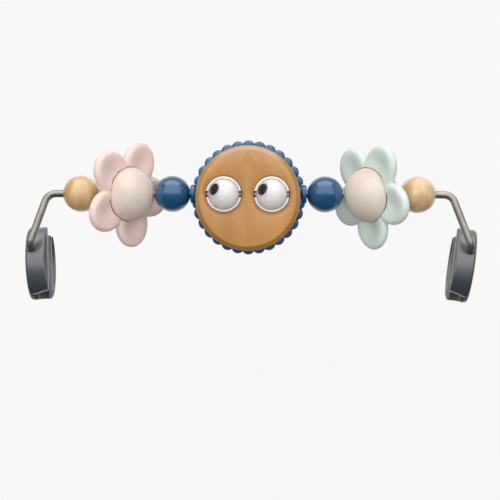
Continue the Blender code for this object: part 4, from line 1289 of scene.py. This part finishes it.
class TOYBAR_OT_stage(bpy.types.Operator):
    """Set up the pale floor, the soft light and the camera"""

    bl_idname = "toybar.stage"
    bl_label = "Set Stage"

    def execute(self, context):
        shade = context.scene.toybar_colours.backdrop
        reach, drop = 4, 0.22  # from the floor's middle to its edges, and from the part down to it
        corners = [(x * reach, y * reach, CAD_BOX[0].z - drop) for x, y in ((-1, -1), (1, -1), (1, 1), (-1, 1))]
        mesh = bpy.data.meshes.new("pale_floor")
        mesh.from_pydata(corners, [], [range(len(corners))])
        mesh.materials.append(pale_stage_material(shade))
        floor = add_object("pale_floor", mesh)
        floor.visible_diffuse = False
        floor.visible_glossy = False
        floor.visible_shadow = False
        pale_world(shade, below=0.09, above=0.28, behind=0.35)
        add_lamp("front_panel", (0.1, -1.25, 1.25), (0.1, 0, 1.25), (4.6, 2.2), 1.25)
        add_lamp("top_panel", (0, -0.45, 2.36), (0, -0.45, 0), (3.6, 1.6), 2.2)
        add_lamp("low_fill", (0, -1.3, -0.45), (0, 0, 0.03), (3.0, 0.8), 1.45).visible_glossy = False
        add_camera()
        context.scene.view_settings.view_transform = "Standard"
        return {"FINISHED"}


# ---------------------------------------------------------------- panel and registration

STEPS = (
    TOYBAR_OT_wire,
    TOYBAR_OT_beads,
    TOYBAR_OT_flowers,
    TOYBAR_OT_face,
    TOYBAR_OT_eyes,
    TOYBAR_OT_clips,
    TOYBAR_OT_pins,
    TOYBAR_OT_stage,
)


class TOYBAR_PT_sidebar(bpy.types.Panel):
    """Lists the toy bar's building steps and sizes"""

    bl_label = "Toy Bar"
    bl_idname = "TOYBAR_PT_sidebar"
    bl_space_type = "VIEW_3D"
    bl_region_type = "UI"
    bl_category = "Toy Bar"

    def draw(self, context):
        for step in STEPS:
            self.layout.operator(step.bl_idname)
        for group, kind in SIZE_GROUPS.items():
            box = self.layout.box()
            for name in kind.__annotations__:
                box.prop(getattr(context.scene, group), name)


def register():
    for kind in (*SIZE_GROUPS.values(), *STEPS, TOYBAR_PT_sidebar):
        bpy.utils.register_class(kind)
    for group, kind in SIZE_GROUPS.items():
        setattr(bpy.types.Scene, group, bpy.props.PointerProperty(type=kind))


def unregister():
    for group in SIZE_GROUPS:
        delattr(bpy.types.Scene, group)
    for kind in reversed((*SIZE_GROUPS.values(), *STEPS, TOYBAR_PT_sidebar)):
        bpy.utils.unregister_class(kind)


def main():
    register()
    for step in STEPS:
        group, action = step.bl_idname.split(".")
        getattr(getattr(bpy.ops, group), action)()


if __name__ == "__main__":
    main()
